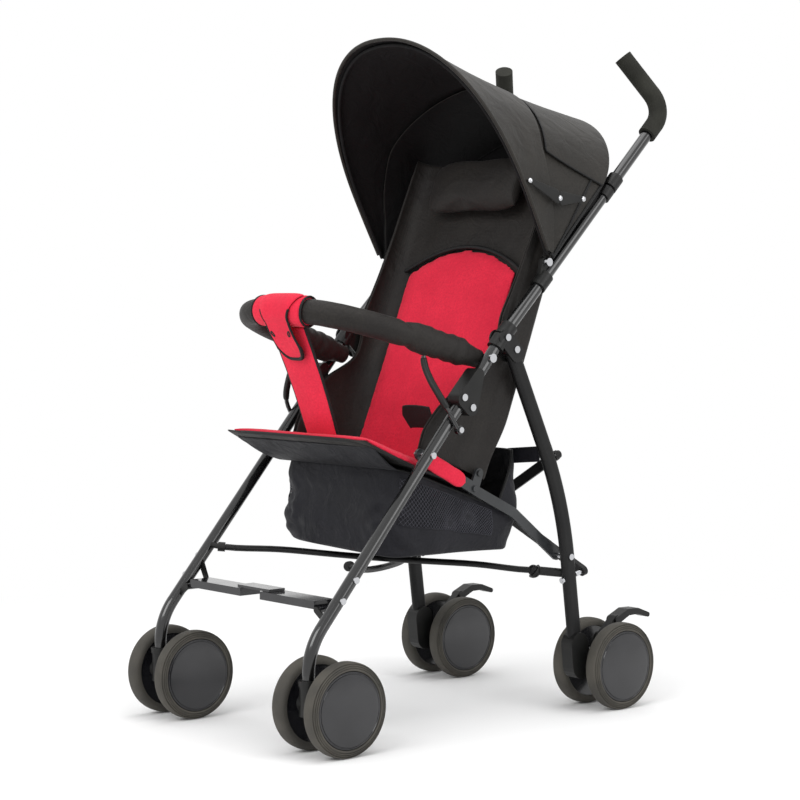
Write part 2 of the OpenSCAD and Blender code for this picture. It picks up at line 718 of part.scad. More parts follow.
module bumper_cover() {
    color("#22211f") sweep([for (i = [0 : 34]) bump_pt(0.0002 + 0.9996 * i / 34)], bumper_r, bumper_r, 0, 12, 0.25);
}

module bumper_pad() {
    color("#d8283f") sweep([for (i = [0 : 10]) bump_pt(0.4 + 0.2 * i / 10)],
        bumper_r + 4, bumper_r + 4, bumper_r + 1, 14);
}

// crotch strap from the bumper pad down to the seat
function strap_pt(u, v, s) =
    let (half = mix(44, 36, v))
    [(2 * u - 1) * half,
     mix(bump_y - bumper_reach + 4, -196, v) - 10 * sin(180 * v) + s * 2.5,
     mix(bump_z + bumper_rise - bumper_r - 4.8, 441.5, v)];

module crotch_strap() {
    color("#d8283f") slab(
        function (u, v) strap_pt(u, v, -1),
        function (u, v) strap_pt(u, v, 1), 8, 14);
}

// lap belt piece lying on the seat's left side
function belt_pt(u, v, s) =
    [mix(92, 162, u),
     mix(-118, -91, v) + 27.2 * u,
     mix(468, 452, v) + 24 * u + 8 * sin(180 * u) + s * 1.6];

module lap_belt() {
    color("#171617") slab(
        function (u, v) belt_pt(u, v, -1),
        function (u, v) belt_pt(u, v, 1), 8, 4);
}

// hood arches: x and reach at the angle t along the arch
function arch(t, half, reach, low, e) =
    let (c = cos(180 * t))
    let (s = sin(180 * t))
    [half * sgn_pow(c, e), low + (reach - low) * pow(s, e)];

function front_arch(t) =
    t < 0.14 || t > 0.86
        ? let (k = (t < 0.14 ? t : 1 - t) / 0.14)
          [(t < 0.5 ? 1 : -1) * mix(side_x + 15, bow_half, sin(90 * k)), mix(2, 120, k)]
        : arch((t - 0.14) / 0.72, bow_half, bow_reach, 120, 0.9);

function rear_arch(t) =
    t < 0.3 || t > 0.7
        ? let (k = (t < 0.3 ? t : 1 - t) / 0.3)
          [(t < 0.5 ? 1 : -1) * (side_x + 15), mix(2, 170, k)]
        : arch((t - 0.3) / 0.4, side_x + 15, rear_reach, 170, 1.25);

function bow_pt(p, angle, grow) =
    [p[0] * (1 + grow / 220),
     hood_y + (p[1] + grow) * cos(angle),
     hood_z + (p[1] + grow) * sin(angle)];

function hood_pt(t, v, grow) =
    let (sag = 10 * sin(180 * v) * sin(180 * t))
    mix(bow_pt(front_arch(t), bow_front, grow - sag), bow_pt(rear_arch(t), bow_rear, grow - sag), v);

module hood_front() {
    color("#3b3935") slab(
        function (u, v) hood_pt(0.02 + 0.96 * u, 0.56 * v, 2.4),
        function (u, v) hood_pt(0.02 + 0.96 * u, 0.56 * v, 0.4), 30, 6);
}

module hood_rear() {
    color("#3b3935") slab(
        function (u, v) hood_pt(0.02 + 0.96 * u, mix(0.5, 1, v), -0.8),
        function (u, v) hood_pt(0.02 + 0.96 * u, mix(0.5, 1, v), -2.8), 30, 6);
}

module hood_bow() {
    color("#1a1a1a") sweep([for (i = [0 : 30]) hood_pt(0.012 + 0.976 * i / 30, 0.02, -5.2)], 3.2, 3.2, 0, 8);
}

// storage basket: an open bag under the seat
function ring_pt(k, n, v, grow) =
    let (c = cos(360 * k / n))
    let (s = sin(360 * k / n))
    let (full = 0.93 + 0.07 * sin(90 * min(1, v * 2.5)) + 0.02 * sin(180 * v))
    let (x = (153 + grow) * full * sgn_pow(c, 0.32))
    let (y = -33 + (124 + grow) * full * sgn_pow(s, 0.32))
    let (low = 279 - 6 * (y + 160) / 250 - 5 * (1 - pow(abs(c), 4)))
    let (high = y < 40 ? mix(406, 333, max(0, min(1, (y + 160) / 200))) : mix(333, 420, min(1, (y - 40) / 40)))
    [x, y, mix(low, high, v)];

module bag(grow, lift, n = 40, m = 6) {
    pts = [for (j = [0 : m]) for (k = [0 : n - 1]) ring_pt(k, n, j / m, grow) + [0, 0, j == 0 ? lift : (j == m ? lift * 0.4 : 0)]];
    polyhedron(pts, concat(
        [for (j = [0 : m - 1]) for (k = [0 : n - 1]) each [
            [j * n + k, (j + 1) * n + k, (j + 1) * n + (k + 1) % n],
            [j * n + k, (j + 1) * n + (k + 1) % n, j * n + (k + 1) % n]]],
        [[for (k = [0 : n - 1]) k]],
        [[for (k = [n - 1 : -1 : 0]) m * n + k]]));
}

module basket() {
    color("#1d1c21") difference() {
        bag(0, 0);
        bag(-2.6, 2.6);
    }
}

module show(name) {
    translate([0, mid_y, 0]) children();
}

show("front_leg_left") front_leg();
show("front_leg_right") right() front_leg();
show("handle_tube_left") handle_tube();
show("handle_tube_right") right() handle_tube();
show("handle_grip_left") handle_grip();
show("handle_grip_right") right() handle_grip();
show("frame_joint_left") frame_joint();
show("frame_joint_right") right() frame_joint();
show("lock_housing_left") lock_housing();
show("lock_housing_right") right() lock_housing();
show("tube_collars_left") tube_collars();
show("tube_collars_right") right() tube_collars();
show("bumper_stay_left") bumper_stay();
show("bumper_stay_right") right() bumper_stay();
show("frame_bolts_left") frame_bolts();
show("frame_bolts_right") right() frame_bolts();
show("floor_clevis_left") floor_clevis();
show("floor_clevis_right") right() floor_clevis();
show("caster_fork_left") caster_fork();
show("caster_fork_right") right() caster_fork();
show("front_axle_left") front_axle();
show("front_axle_right") right() front_axle();
show("rear_leg_left") rear_leg();
show("rear_leg_right") right() rear_leg();
show("rear_housing_left") rear_housing();
show("rear_housing_right") right() rear_housing();
show("leg_steel_left") leg_steel(layer_out);
show("leg_steel_right") right() leg_steel(layer_in);
show("brake_lever_left") brake_lever();
show("brake_lever_right") right() brake_lever();
show("seat_rail_left") seat_rail();
show("seat_rail_right") right() seat_rail();
show("seat_link_left") seat_link();
show("seat_link_right") right() seat_link();
show("rear_brace_left") rear_brace(layer_out);
show("rear_brace_right") right() rear_brace(layer_in);
show("floor_brace_left") floor_brace(7);
show("floor_brace_right") right() floor_brace(-7);
show("footrest_left") footrest(true);
show("footrest_right") right() footrest(false);
show("front_wheel_left_outer") wheel(side_x + wheel_dx, front_axle_y, 1);
show("front_wheel_left_inner") wheel(side_x - wheel_dx, front_axle_y, -1);
show("front_wheel_right_outer") right() wheel(side_x + wheel_dx, front_axle_y, 1);
show("front_wheel_right_inner") right() wheel(side_x - wheel_dx, front_axle_y, -1);
show("rear_wheel_left_outer") wheel(side_x + wheel_dx, rear_axle_y, 1);
show("rear_wheel_left_inner") wheel(side_x - wheel_dx, rear_axle_y, -1);
show("rear_wheel_right_outer") right() wheel(side_x + wheel_dx, rear_axle_y, 1);
show("rear_wheel_right_inner") right() wheel(side_x - wheel_dx, rear_axle_y, -1);
show("seat_base") seat_base();
show("backrest") backrest();
show("head_pillow") head_pillow();
show("bumper_cover") bumper_cover();
show("bumper_pad") bumper_pad();
show("crotch_strap") crotch_strap();
show("lap_belt") lap_belt();
show("hood_front") hood_front();
show("hood_rear") hood_rear();
show("hood_bow") hood_bow();
show("basket") basket();
show("fold_pedal") fold_pedal();
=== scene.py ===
"""Umbrella stroller: its cloth, padding, wheels and finishes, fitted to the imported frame.

The shaping functions work in millimetres, x to the stroller's left, y to its back and z up.
"""
import math

import bpy
from mathutils import Matrix, Vector, noise


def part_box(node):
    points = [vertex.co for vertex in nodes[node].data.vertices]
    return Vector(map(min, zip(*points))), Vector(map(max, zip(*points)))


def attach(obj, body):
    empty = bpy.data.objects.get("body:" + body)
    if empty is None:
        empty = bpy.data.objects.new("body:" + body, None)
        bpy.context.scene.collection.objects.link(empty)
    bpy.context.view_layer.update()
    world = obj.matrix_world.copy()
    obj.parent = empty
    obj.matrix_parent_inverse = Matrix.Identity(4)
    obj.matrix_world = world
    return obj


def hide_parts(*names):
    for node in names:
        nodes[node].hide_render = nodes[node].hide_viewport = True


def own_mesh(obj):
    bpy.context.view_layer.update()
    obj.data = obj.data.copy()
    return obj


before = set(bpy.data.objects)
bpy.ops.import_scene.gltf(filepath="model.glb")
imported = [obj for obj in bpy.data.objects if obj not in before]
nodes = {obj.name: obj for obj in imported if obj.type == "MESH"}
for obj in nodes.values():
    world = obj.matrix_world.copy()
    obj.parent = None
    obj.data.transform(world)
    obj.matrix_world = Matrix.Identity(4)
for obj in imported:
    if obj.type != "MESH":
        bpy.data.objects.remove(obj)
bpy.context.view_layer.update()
scene = bpy.context.scene
scene.view_settings.view_transform = "Standard"

# The frame's middle lies this far in front of the drawing's zero, mm
MID = 6.5


def at(x, y, z):
    """A point of the drawing in mm as a point of the frame in metres."""
    return Vector((x, y + MID, z)) / 1000


def mix(a, b, t):
    return a + (b - a) * t


def clamp(t):
    return min(1.0, max(0.0, t))


def ease(t):
    t = clamp(t)
    return t * t * (3 - 2 * t)


def sin180(t):
    return math.sin(math.pi * t)


def swell_power(c, e):
    return math.copysign(abs(c) ** e, c)


def crease(x, y, z, size):
    """Soft folds about size mm wide, from -1 to 1, the same on every run."""
    return noise.noise(Vector((x, y, z)) / size)


# camera at the photograph's viewpoint
lens = bpy.data.cameras.new("photo_view")
lens.sensor_width = 36
lens.lens = 94.52
camera = bpy.data.objects.new("photo_view", lens)
scene.collection.objects.link(camera)
camera.matrix_world = Matrix((
    (0.6475, -0.0359, 0.7613, 2.5647),
    (0.7621, 0.0305, -0.6468, -2.2034),
    (0.0, 0.9990, 0.0471, 0.6581),
    (0.0, 0.0, 0.0, 1.0)))
scene.camera = camera


# working with pieces

def clear_selection():
    if bpy.context.object and bpy.context.object.mode != "OBJECT":
        bpy.ops.object.mode_set(mode="OBJECT")
    bpy.ops.object.select_all(action="DESELECT")


def pick(piece):
    clear_selection()
    piece.select_set(True)
    bpy.context.view_layer.objects.active = piece


def apply_all(piece):
    pick(piece)
    for step in list(piece.modifiers):
        bpy.ops.object.modifier_apply(modifier=step.name)


def round_off(piece):
    """Subdivides a piece once, after the steps that it already has."""
    smooth = piece.modifiers.new("round", "SUBSURF")
    smooth.levels = smooth.render_levels = 1
    apply_all(piece)


def lay_cloth(name, across, along, place, closed=False):
    """A grid of cloth, each corner moved to place(u, v) mm; edges that meet are sewn, open ends closed."""
    clear_selection()
    bpy.ops.mesh.primitive_grid_add(x_subdivisions=across, y_subdivisions=along, size=1)
    piece = bpy.context.object
    piece.name = piece.data.name = name
    for corner in piece.data.vertices:
        corner.co = at(*place(corner.co.x + 0.5, corner.co.y + 0.5))
    bpy.ops.object.mode_set(mode="EDIT")
    bpy.ops.mesh.select_all(action="SELECT")
    bpy.ops.mesh.remove_doubles(threshold=0.00003)
    if closed:
        bpy.ops.mesh.fill_holes(sides=0)
        bpy.ops.mesh.select_all(action="SELECT")
    bpy.ops.mesh.normals_make_consistent(inside=False)
    bpy.ops.object.mode_set(mode="OBJECT")
    bpy.ops.object.shade_smooth()
    return piece


def give_wall(piece, thick, lining=0):
    """Cloth gets its thickness in mm and round edges, and its inner face the material that many slots on."""
    wall = piece.modifiers.new("wall", "SOLIDIFY")
    wall.thickness = thick / 1000
    wall.offset = 0
    wall.material_offset = lining
    for _ in range(lining + 1):
        piece.data.materials.append(None)
    round_off(piece)
    return piece


def roll(name, route, radius, steps, sides=8):
    """A rolled edge or sleeve along route(t) mm; radius is a size in mm or a function of t and the angle."""
    line = [Vector(route(i / steps)) for i in range(steps + 1)]
    ring = (line[0] - line[-1]).length < 0.01
    ways = []
    for i in range(steps + 1):
        before = line[i - 1] if i else (line[-2] if ring else line[0])
        after = line[i + 1] if i < steps else (line[1] if ring else line[-1])
        ways.append((after - before).normalized())
    up = Vector((0, 0, 1)) if abs(ways[0].z) < 0.9 else Vector((0, 1, 0))
    sides_up = []
    for way in ways:
        up = (up - way * up.dot(way)).normalized()
        sides_up.append(up)
    twist = 0.0
    if ring:
        first, last = sides_up[0], sides_up[-1]
        twist = math.atan2(ways[0].dot(first.cross(last)), first.dot(last))

    def place(u, v):
        i = round(u * steps)
        angle = 2 * math.pi * v
        size = radius(i / steps, angle) if callable(radius) else radius
        turn = angle - twist * i / steps
        over = sides_up[i]
        beside = ways[i].cross(over)
        return line[i] + (over * math.cos(turn) + beside * math.sin(turn)) * size

    return lay_cloth(name, steps, sides, place, not ring)


# Pads: mesh size in mm, pressure of the stuffing, and how many frames it swells for
PAD_VOXEL = 5
PAD_PRESSURE = 4.0
PAD_FRAMES = 20


def stuff(name, across, around, place, most):
    """A stuffed pad: place(u, w, s), s from its back, -1, to its face, 1; it swells by at most most mm."""
    def wall(u, v):
        c, s = math.cos(2 * math.pi * v), math.sin(2 * math.pi * v)
        return place(u, 0.5 - 0.5 * swell_power(c, 0.45), swell_power(s, 0.7))

    pad = lay_cloth(name, across, around, wall, True)
    pick(pad)
    pad.data.remesh_voxel_size = PAD_VOXEL / 1000
    bpy.ops.object.voxel_remesh()
    flat = [v.co.copy() for v in pad.data.vertices]
    cover = pad.modifiers.new("cover", "CLOTH")
    cover.settings.quality = 4
    cover.settings.use_pressure = True
    cover.settings.uniform_pressure_force = PAD_PRESSURE
    cover.settings.effector_weights.gravity = 0
    cover.point_cache.frame_start = 1
    cover.point_cache.frame_end = PAD_FRAMES
    for step in range(1, PAD_FRAMES + 1):
        scene.frame_set(step)
    bpy.ops.object.modifier_apply(modifier=cover.name)
    scene.frame_set(1)
    for corner, was in zip(pad.data.vertices, flat):
        moved = corner.co - was
        if moved.length > most / 1000:
            corner.co = was + moved * (most / 1000 / moved.length)
    even = pad.modifiers.new("even", "SMOOTH")
    even.factor = 0.5
    even.iterations = 4
    round_off(pad)
    bpy.ops.object.shade_smooth()
    return pad


def fit(piece, body, finishes, stands_for=(), gather=0.36):
    """Gives a piece its finishes, seats it on a body, hides the frame parts that it stands for and, when
    gather is set, gives it its own copy of its mesh.
    """
    while len(piece.data.materials) < len(finishes):
        piece.data.materials.append(None)
    for k, finish in enumerate(finishes):
        piece.data.materials[k] = finish
    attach(piece, body)
    if stands_for:
        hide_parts(*stands_for)
    if gather:
        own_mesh(piece)
    return piece


# finishes

def tone(code):
    """An sRGB hex colour as a linear one."""
    parts = [int(code[i:i + 2], 16) / 255 for i in (1, 3, 5)]
    return [c / 12.92 if c <= 0.04045 else ((c + 0.055) / 1.055) ** 2.4 for c in parts] + [1.0]


def add(tree, kind, inputs=None, **settings):
    """Adds a node; an input is set to a value or linked to another node's output."""
    node = tree.nodes.new("ShaderNode" + kind)
    for key, value in settings.items():
        setattr(node, key, value)
    for key, value in (inputs or {}).items():
        if isinstance(value, bpy.types.NodeSocket):
            tree.links.new(value, node.inputs[key])
        else:
            node.inputs[key].default_value = value
    return node


def start_finish(name):
    finish = bpy.data.materials.new(name)
    finish.use_nodes = True
    tree = finish.node_tree
    tree.nodes.clear()
    return finish, tree, add(tree, "TexCoord").outputs["Object"]


def bands_for(pitch):
    """Wave scale whose bands repeat every pitch mm: a wave of scale 1 repeats every 0.314 m."""
    return 314.16 / pitch


def grains_for(size):
    """Noise scale whose grains are about size mm wide."""
    return 1000 / size


def woven(name, dark, light, pitch, rough, depth, sheen, fold=0.35):
    """Woven polyester: threads pitch mm apart over slow colour drift and soft creases."""
    finish, tree, place = start_finish(name)
    drift = add(tree, "TexNoise", {"Vector": place, "Scale": grains_for(70), "Detail": 4.0})
    fine = add(tree, "TexNoise", {"Vector": place, "Scale": grains_for(3), "Detail": 2.0})
    threads = [add(tree, "TexWave", {"Vector": place, "Scale": bands_for(pitch)}, bands_direction=axis)
               for axis in ("X", "Y", "Z")]
    pair = add(tree, "Math", {0: threads[0].outputs["Fac"], 1: threads[1].outputs["Fac"]})
    weave = add(tree, "Math", {0: pair.outputs[0], 1: threads[2].outputs["Fac"]})
    weave = add(tree, "Math", {0: weave.outputs[0], 1: 0.3333}, operation="MULTIPLY")
    blend = add(tree, "Math", {0: drift.outputs["Fac"], 1: fine.outputs["Fac"]}, operation="MULTIPLY")
    tint = add(tree, "ValToRGB", {"Fac": blend.outputs[0]})
    tint.color_ramp.elements[0].position = 0.12
    tint.color_ramp.elements[0].color = tone(dark)
    tint.color_ramp.elements[1].position = 0.42
    tint.color_ramp.elements[1].color = tone(light)
    creases = add(tree, "TexNoise", {"Vector": place, "Scale": grains_for(38), "Detail": 3.0,
                                     "Distortion": 0.8})
    soft = add(tree, "Bump", {"Height": creases.outputs["Fac"], "Strength": fold, "Distance": 0.006})
    raised = add(tree, "Bump", {"Height": weave.outputs[0], "Strength": depth, "Distance": 0.0006,
                                "Normal": soft.outputs["Normal"]})
    shader = add(tree, "BsdfPrincipled", {"Base Color": tint.outputs["Color"], "Roughness": rough,
                                          "Sheen Weight": sheen, "Sheen Roughness": 0.5, "IOR": 1.45,
                                          "Specular IOR Level": 0.28,
                                          "Normal": raised.outputs["Normal"]})
    add(tree, "OutputMaterial", {"Surface": shader.outputs[0]})
    return finish


def moulded(name, dark, light, rough, grain, depth, coat=0.0, spread=0.08, shine=0.4):
    """Moulded or painted surfaces: a grain of the given size in mm that varies colour, gloss and height."""
    finish, tree, place = start_finish(name)
    drift = add(tree, "TexNoise", {"Vector": place, "Scale": grains_for(45), "Detail": 3.0})
    skin = add(tree, "TexNoise", {"Vector": place, "Scale": grains_for(grain), "Detail": 3.0})
    tint = add(tree, "ValToRGB", {"Fac": drift.outputs["Fac"]})
    tint.color_ramp.elements[0].position = 0.35
    tint.color_ramp.elements[0].color = tone(dark)
    tint.color_ramp.elements[1].position = 0.65
    tint.color_ramp.elements[1].color = tone(light)
    gloss = add(tree, "MapRange", {"Value": skin.outputs["Fac"], "From Min": 0.3, "From Max": 0.7,
                                   "To Min": max(0.02, rough - spread), "To Max": rough + spread})
    raised = add(tree, "Bump", {"Height": skin.outputs["Fac"], "Strength": depth, "Distance": 0.0005})
    shader = add(tree, "BsdfPrincipled", {"Base Color": tint.outputs["Color"], "IOR": 1.5,
                                          "Roughness": gloss.outputs["Result"], "Coat Weight": coat,
                                          "Coat Roughness": 0.08, "Specular IOR Level": shine,
                                          "Normal": raised.outputs["Normal"]})
    add(tree, "OutputMaterial", {"Surface": shader.outputs[0]})
    return finish


# Red oxford polyester: matt woven cloth. Threads are 0.5 mm apart, drawn at 2.2 mm to show here.
red_oxford = woven("red_oxford_polyester", "#CE203B", "#E62A45", 2.2, 0.85, 0.25, 0.06)
# Black oxford polyester of the seat's sides, sleeve and straps, with a dull silky shine in its folds.
black_oxford = woven("black_oxford_polyester", "#1A1716", "#25221F", 2.2, 0.6, 0.25, 0.03, 0.5)
# Charcoal hood polyester, a shade warmer and lighter, stretched over its bows.
hood_oxford = woven("charcoal_hood_polyester", "#1E1C19", "#2A2723", 2.4, 0.55, 0.3, 0.03, 0.6)
# Black nylon hood lining: thin, soft and nearly without shine.
hood_lining = woven("black_nylon_lining", "#090809", "#100F10", 2.0, 0.8, 0.15, 0.0, 0.6)
# Dark navy-black basket polyester, limp and creased.
basket_oxford = woven("black_basket_polyester", "#111116", "#1B1B21", 2.4, 0.64, 0.25, 0.03, 0.8)
# Ribbed polyester binding tape and webbing, ribs 1.6 mm apart.
binding_tape = woven("black_binding_tape", "#101011", "#191919", 1.6, 0.55, 0.5, 0.02, 0.1)
# Knitted polyester net thread.
net_thread = woven("black_net_thread", "#3A3A40", "#4C4C54", 1.2, 0.6, 0.3, 0.02, 0.1)

# Foamed EVA tyre: dull warm grey with fine pores.
tyre_foam = moulded("grey_eva_foam_tyre", "#413F3B", "#4F4C46", 0.7, 1.5, 0.35, shine=0.25)
# Polished ABS of the wheel discs and the footrest: smooth and glossy, so it mirrors the pale room.
disc_abs = moulded("dark_grey_abs_disc", "#17171A", "#1F1F22", 0.16, 25, 0.02, 0.4, 0.05)
# Gloss black stove enamel on steel tube: long bright highlights along the tube.
tube_enamel = moulded("black_enamelled_tube", "#0A0A0B", "#111112", 0.2, 12, 0.01, 0.7, 0.04)
# Satin black powder coat on the flat-oval rear legs and the braces.
satin_coat = moulded("satin_black_powder_coat", "#0B0B0C", "#131313", 0.45, 1.0, 0.06, shine=0.25)
# Dark grey enamel of the seat rails and links.
grey_enamel = moulded("grey_enamelled_steel", "#232527", "#2E3032", 0.34, 10, 0.02, 0.2, 0.06)
# Moulded black polypropylene: slightly grained, satin.
black_pp = moulded("black_moulded_polypropylene", "#0F0F0F", "#181817", 0.42, 1.2, 0.12, shine=0.3)
# Nitrile foam grip: velvety, with pores about 1 mm wide.
grip_foam = moulded("black_nitrile_foam", "#23231F", "#2F2F2A", 0.9, 1.0, 0.6, shine=0.25)

# Chrome plated bolt heads and axles: bright, with faint polishing marks.
bolt_chrome, tree, place = start_finish("chrome_plated_steel")
marks = add(tree, "TexNoise", {"Vector": place, "Scale": grains_for(1.5), "Detail": 3.0})
gloss = add(tree, "MapRange", {"Value": marks.outputs["Fac"], "To Min": 0.1, "To Max": 0.3})
shader = add(tree, "BsdfPrincipled", {"Base Color": tone("#C8C9CC"), "Metallic": 1.0,
                                      "Roughness": gloss.outputs["Result"]})
add(tree, "OutputMaterial", {"Surface": shader.outputs[0]})

# frame finishes: every solid that stays in view
frame_finish = {
    "front_leg": tube_enamel, "handle_tube": tube_enamel, "handle_grip": grip_foam,
    "frame_joint": black_pp, "lock_housing": black_pp, "tube_collars": black_pp,
    "bumper_stay": tube_enamel, "frame_bolts": bolt_chrome, "floor_clevis": black_pp,
    "caster_fork": black_pp, "front_axle": bolt_chrome, "rear_leg": satin_coat,
    "rear_housing": black_pp, "leg_steel": bolt_chrome, "brake_lever": black_pp,
    "seat_rail": grey_enamel, "seat_link": grey_enamel, "rear_brace": satin_coat,
    "floor_brace": satin_coat, "footrest": disc_abs, "fold_pedal": black_pp,
}
for name, solid in nodes.items():
    for kind, finish in frame_finish.items():
        if name.startswith(kind):
            for holder in solid.material_slots:
                holder.material = finish


# wheels: tyre and disc each spun once and copied to the eight places
WHEEL_R = 70
HALF_TYRE = 13
DISC_R = 57
FRONT_AXLE_Y, REAR_AXLE_Y = -327.5, 242.5


def spun(name, profile):
    """A closed profile of (radius, offset) mm turned about the x axis."""
    clear_selection()
    bpy.ops.mesh.primitive_circle_add(vertices=len(profile), radius=0.01, fill_type="NOTHING")
    piece = bpy.context.object
    piece.name = piece.data.name = name
    for corner, (radius, offset) in zip(piece.data.vertices, profile):
        corner.co = (offset / 1000, 0, radius / 1000)
    bpy.ops.object.mode_set(mode="EDIT")
    bpy.ops.mesh.select_all(action="SELECT")
    bpy.ops.mesh.spin(steps=96, angle=2 * math.pi, center=(0, 0, 0), axis=(1, 0, 0))
    bpy.ops.mesh.select_all(action="SELECT")
    bpy.ops.mesh.remove_doubles(threshold=0.00001)
    bpy.ops.mesh.normals_make_consistent(inside=False)
    bpy.ops.object.mode_set(mode="OBJECT")
    bpy.ops.object.shade_smooth_by_angle(angle=math.radians(35))
    return piece


def tyre_profile():
    """Tread crowned across, three ring grooves on the outer shoulder, a bead at the disc."""
    h, r = HALF_TYRE, WHEEL_R
    outline = [(DISC_R + 0.3, h - 2.5), (DISC_R + 0.9, h - 0.4), (DISC_R + 2.2, h), (DISC_R + 3.2, h - 0.2)]
    for start, top in ((DISC_R + 3.4, h - 0.2), (DISC_R + 6.3, h - 0.8), (DISC_R + 9.2, h - 2.4)):
        outline += [(start, top - 0.2), (start + 0.3, top - 1.6), (start + 1.1, top - 1.7)]
        outline += [(start + 1.4, top - 0.4), (start + 2.2, top - 0.5)]
    outline += [(r - 0.7, h - 4.6), (r - 0.3, h - 6.6), (r - 0.1, h - 9.0), (r, 0)]
    outline += [(r - 0.1, 9.0 - h), (r - 0.4, 6.6 - h), (r - 1.0, 4.8 - h), (r - 2.2, 2.8 - h)]
    outline += [(r - 4.2, 1.2 - h), (r - 6.5, 0.3 - h)]
    outline += [(DISC_R + 3.0, -h), (DISC_R + 1.0, 0.6 - h), (DISC_R + 0.3, 3.0 - h)]
    return outline


def disc_profile():
    """Domed disc with a ring groove near its edge; its back is hollow round the hub."""
    h, r = HALF_TYRE, DISC_R
    outline = [(r + 0.4, h - 4), (r + 0.1, h - 2.2), (r - 0.8, h - 1.3), (r - 2.2, h - 1.1)]
    outline += [(r - 2.8, h - 1.9), (r - 3.8, h - 1.9), (r - 4.4, h - 0.9)]
    outline += [(r * (1 - k / 10) * 0.9, h - 0.7 + 1.6 * (1 - (1 - k / 10) ** 2)) for k in range(10)]
    outline += [(0.02, h + 0.9), (0.02, h - 3), (24, h - 3.4), (r - 5, h - 5.2)]
    outline += [(r - 4.2, h - 7), (r - 4.2, 7 - h), (r - 5, 6 - h), (27, 6 - h), (25.5, 5.4 - h), (22, -h)]
    outline += [(5, -h), (4.4, 1 - h), (4.4, 2.8 - h), (5.52, 3 - h)]
    outline += [(r - 3, 4.5 - h), (r, 4 - h), (r + 0.4, 6 - h)]
    return outline


SIDES = (("left", 1), ("right", -1))
wheel_places = [(f"{axle}_wheel_{side}_{place}", sign * outward, y)
                for side, sign in SIDES
                for axle, y in (("front", FRONT_AXLE_Y), ("rear", REAR_AXLE_Y))
                for place, outward in (("outer", 1), ("inner", -1))]
tyre_master = spun("tyre_master", tyre_profile())
disc_master = spun("disc_master", disc_profile())
for name, facing, y in wheel_places:
    low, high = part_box(name)
    cap_lift = 0.5 * facing / 1000
    middle = Vector(((low[0] + high[0]) / 2 - cap_lift, (y + MID) / 1000, WHEEL_R / 1000))
    for kind, master, finish, slot in (("tyre", tyre_master, tyre_foam, "tyre_grey"),
                                       ("disc", disc_master, disc_abs, "black_plastic")):
        copy = master.copy()
        copy.data = master.data.copy()
        copy.name = copy.data.name = f"{name}_{kind}"
        scene.collection.objects.link(copy)
        turn = Matrix.Identity(4) if facing > 0 else Matrix.Rotation(math.pi, 4, "Z")
        copy.data.transform(Matrix.Translation(middle) @ turn)
        fit(copy, name, [finish], [name] if kind == "tyre" else (), 0)
for master in (tyre_master, disc_master):
    bpy.data.objects.remove(master)


# seat: red padded top over a black underside, bound all round
SEAT_FRONT_Y, SEAT_BACK_Y = -248, -22
SEAT_FRONT_Z, SEAT_BACK_Z = 450, 382
SEAT_HALF = 176  # half the width of its front part, which stands out over the tubes
FRONT_PART = 0.42  # share of the seat's length


def seat_shape(u, v):
    """Sideways place, length place, height and fullness of the seat board's middle layer."""
    y = mix(SEAT_FRONT_Y, SEAT_BACK_Y, v)
    wide = mix(SEAT_HALF, 166.4, clamp((v - FRONT_PART) / 0.08))
    half = mix(wide, 160.4, clamp((y + 54) / 12))
    edge = abs(2 * u - 1) ** 6
    z = mix(SEAT_FRONT_Z, SEAT_BACK_Z, v) - 10
    z += 9 * sin180(v) * (1 - edge) + 14 * clamp(1 - v / FRONT_PART) ** 1.4
    full = (1 - 0.55 * edge) * (1 - 0.6 * (1 - min(1, 5 * v)) ** 2)
    return (2 * u - 1) * half, y, z, full


def seat_red(u, w, s):
    x, y, z, full = seat_shape(mix(0.015, 0.985, u), mix(0.02, 0.98, w))
    return x, y, z + mix(full, 1, 0.45) * (3.5 + 4.5 * s)


def seat_black(u, v):
    x, y, z, full = seat_shape(mix(0.004, 0.996, u), mix(0.004, 0.996, v))
    return x, y, z - full * (5.4 + 1.4 * crease(x, y, 0, 60))


def seat_edge(t):
    c, s = math.cos(2 * math.pi * t), math.sin(2 * math.pi * t)
    x, y, z, _ = seat_shape(0.5 + 0.494 * swell_power(c, 0.28), 0.5 + 0.494 * swell_power(s, 0.28))
    return x, y, z - 2.6


seat_pad = stuff("seat_pad", 60, 72, seat_red, 4)
fit(seat_pad, "seat_unit", [red_oxford], ["seat_base"])
seat_under = give_wall(lay_cloth("seat_underside", 48, 36, seat_black), 3)
fit(seat_under, "seat_unit", [black_oxford])
seat_bind = roll("seat_binding", seat_edge, 3.0, 200)
fit(seat_bind, "seat_unit", [binding_tape])


# backrest: black sling with wings, a red pad and a head pillow
BACK_Y, BACK_Z = -15.6, 380.1
BACK_GATHER = 0.285  # set, so that each backrest piece gets its own copy of its mesh
LEAN = math.radians(68.5)
BACK_TOP = 545  # height up its slope
BACK_FLAT = 108  # half the width of its flat middle
PAD_HALF = 133  # half the width of the red pad


def on_back(x, h, ahead):
    """A point x sideways, h up the backrest's slope and ahead of it."""
    c, s = math.cos(LEAN), math.sin(LEAN)
    return x, BACK_Y + h * c - ahead * s, BACK_Z + h * s + ahead * c


# How far the wing's front edge stands ahead of the backrest, at heights up its slope, mm
WING_EDGE = ((0, 124), (40, 126), (80, 116), (110, 100), (135, 82), (160, 58), (175, 44), (190, 38),
             (215, 38), (235, 46), (256, 50), (290, 45), (328, 41), (400, 36), (BACK_TOP, 32))


def along_table(table, h):
    """The value that a table of (height, value) pairs has at a height between them."""
    for (a, low), (b, high) in zip(table, table[1:]):
        if h <= b:
            return mix(low, high, clamp((h - a) / (b - a)))
    return table[-1][1]


def wing_x(h):
    return mix(159, 171, ease((h - 30) / 80))


def hollow(x, h):
    return 5 * (1 - (x / 180) ** 2) * sin180(h / BACK_TOP)


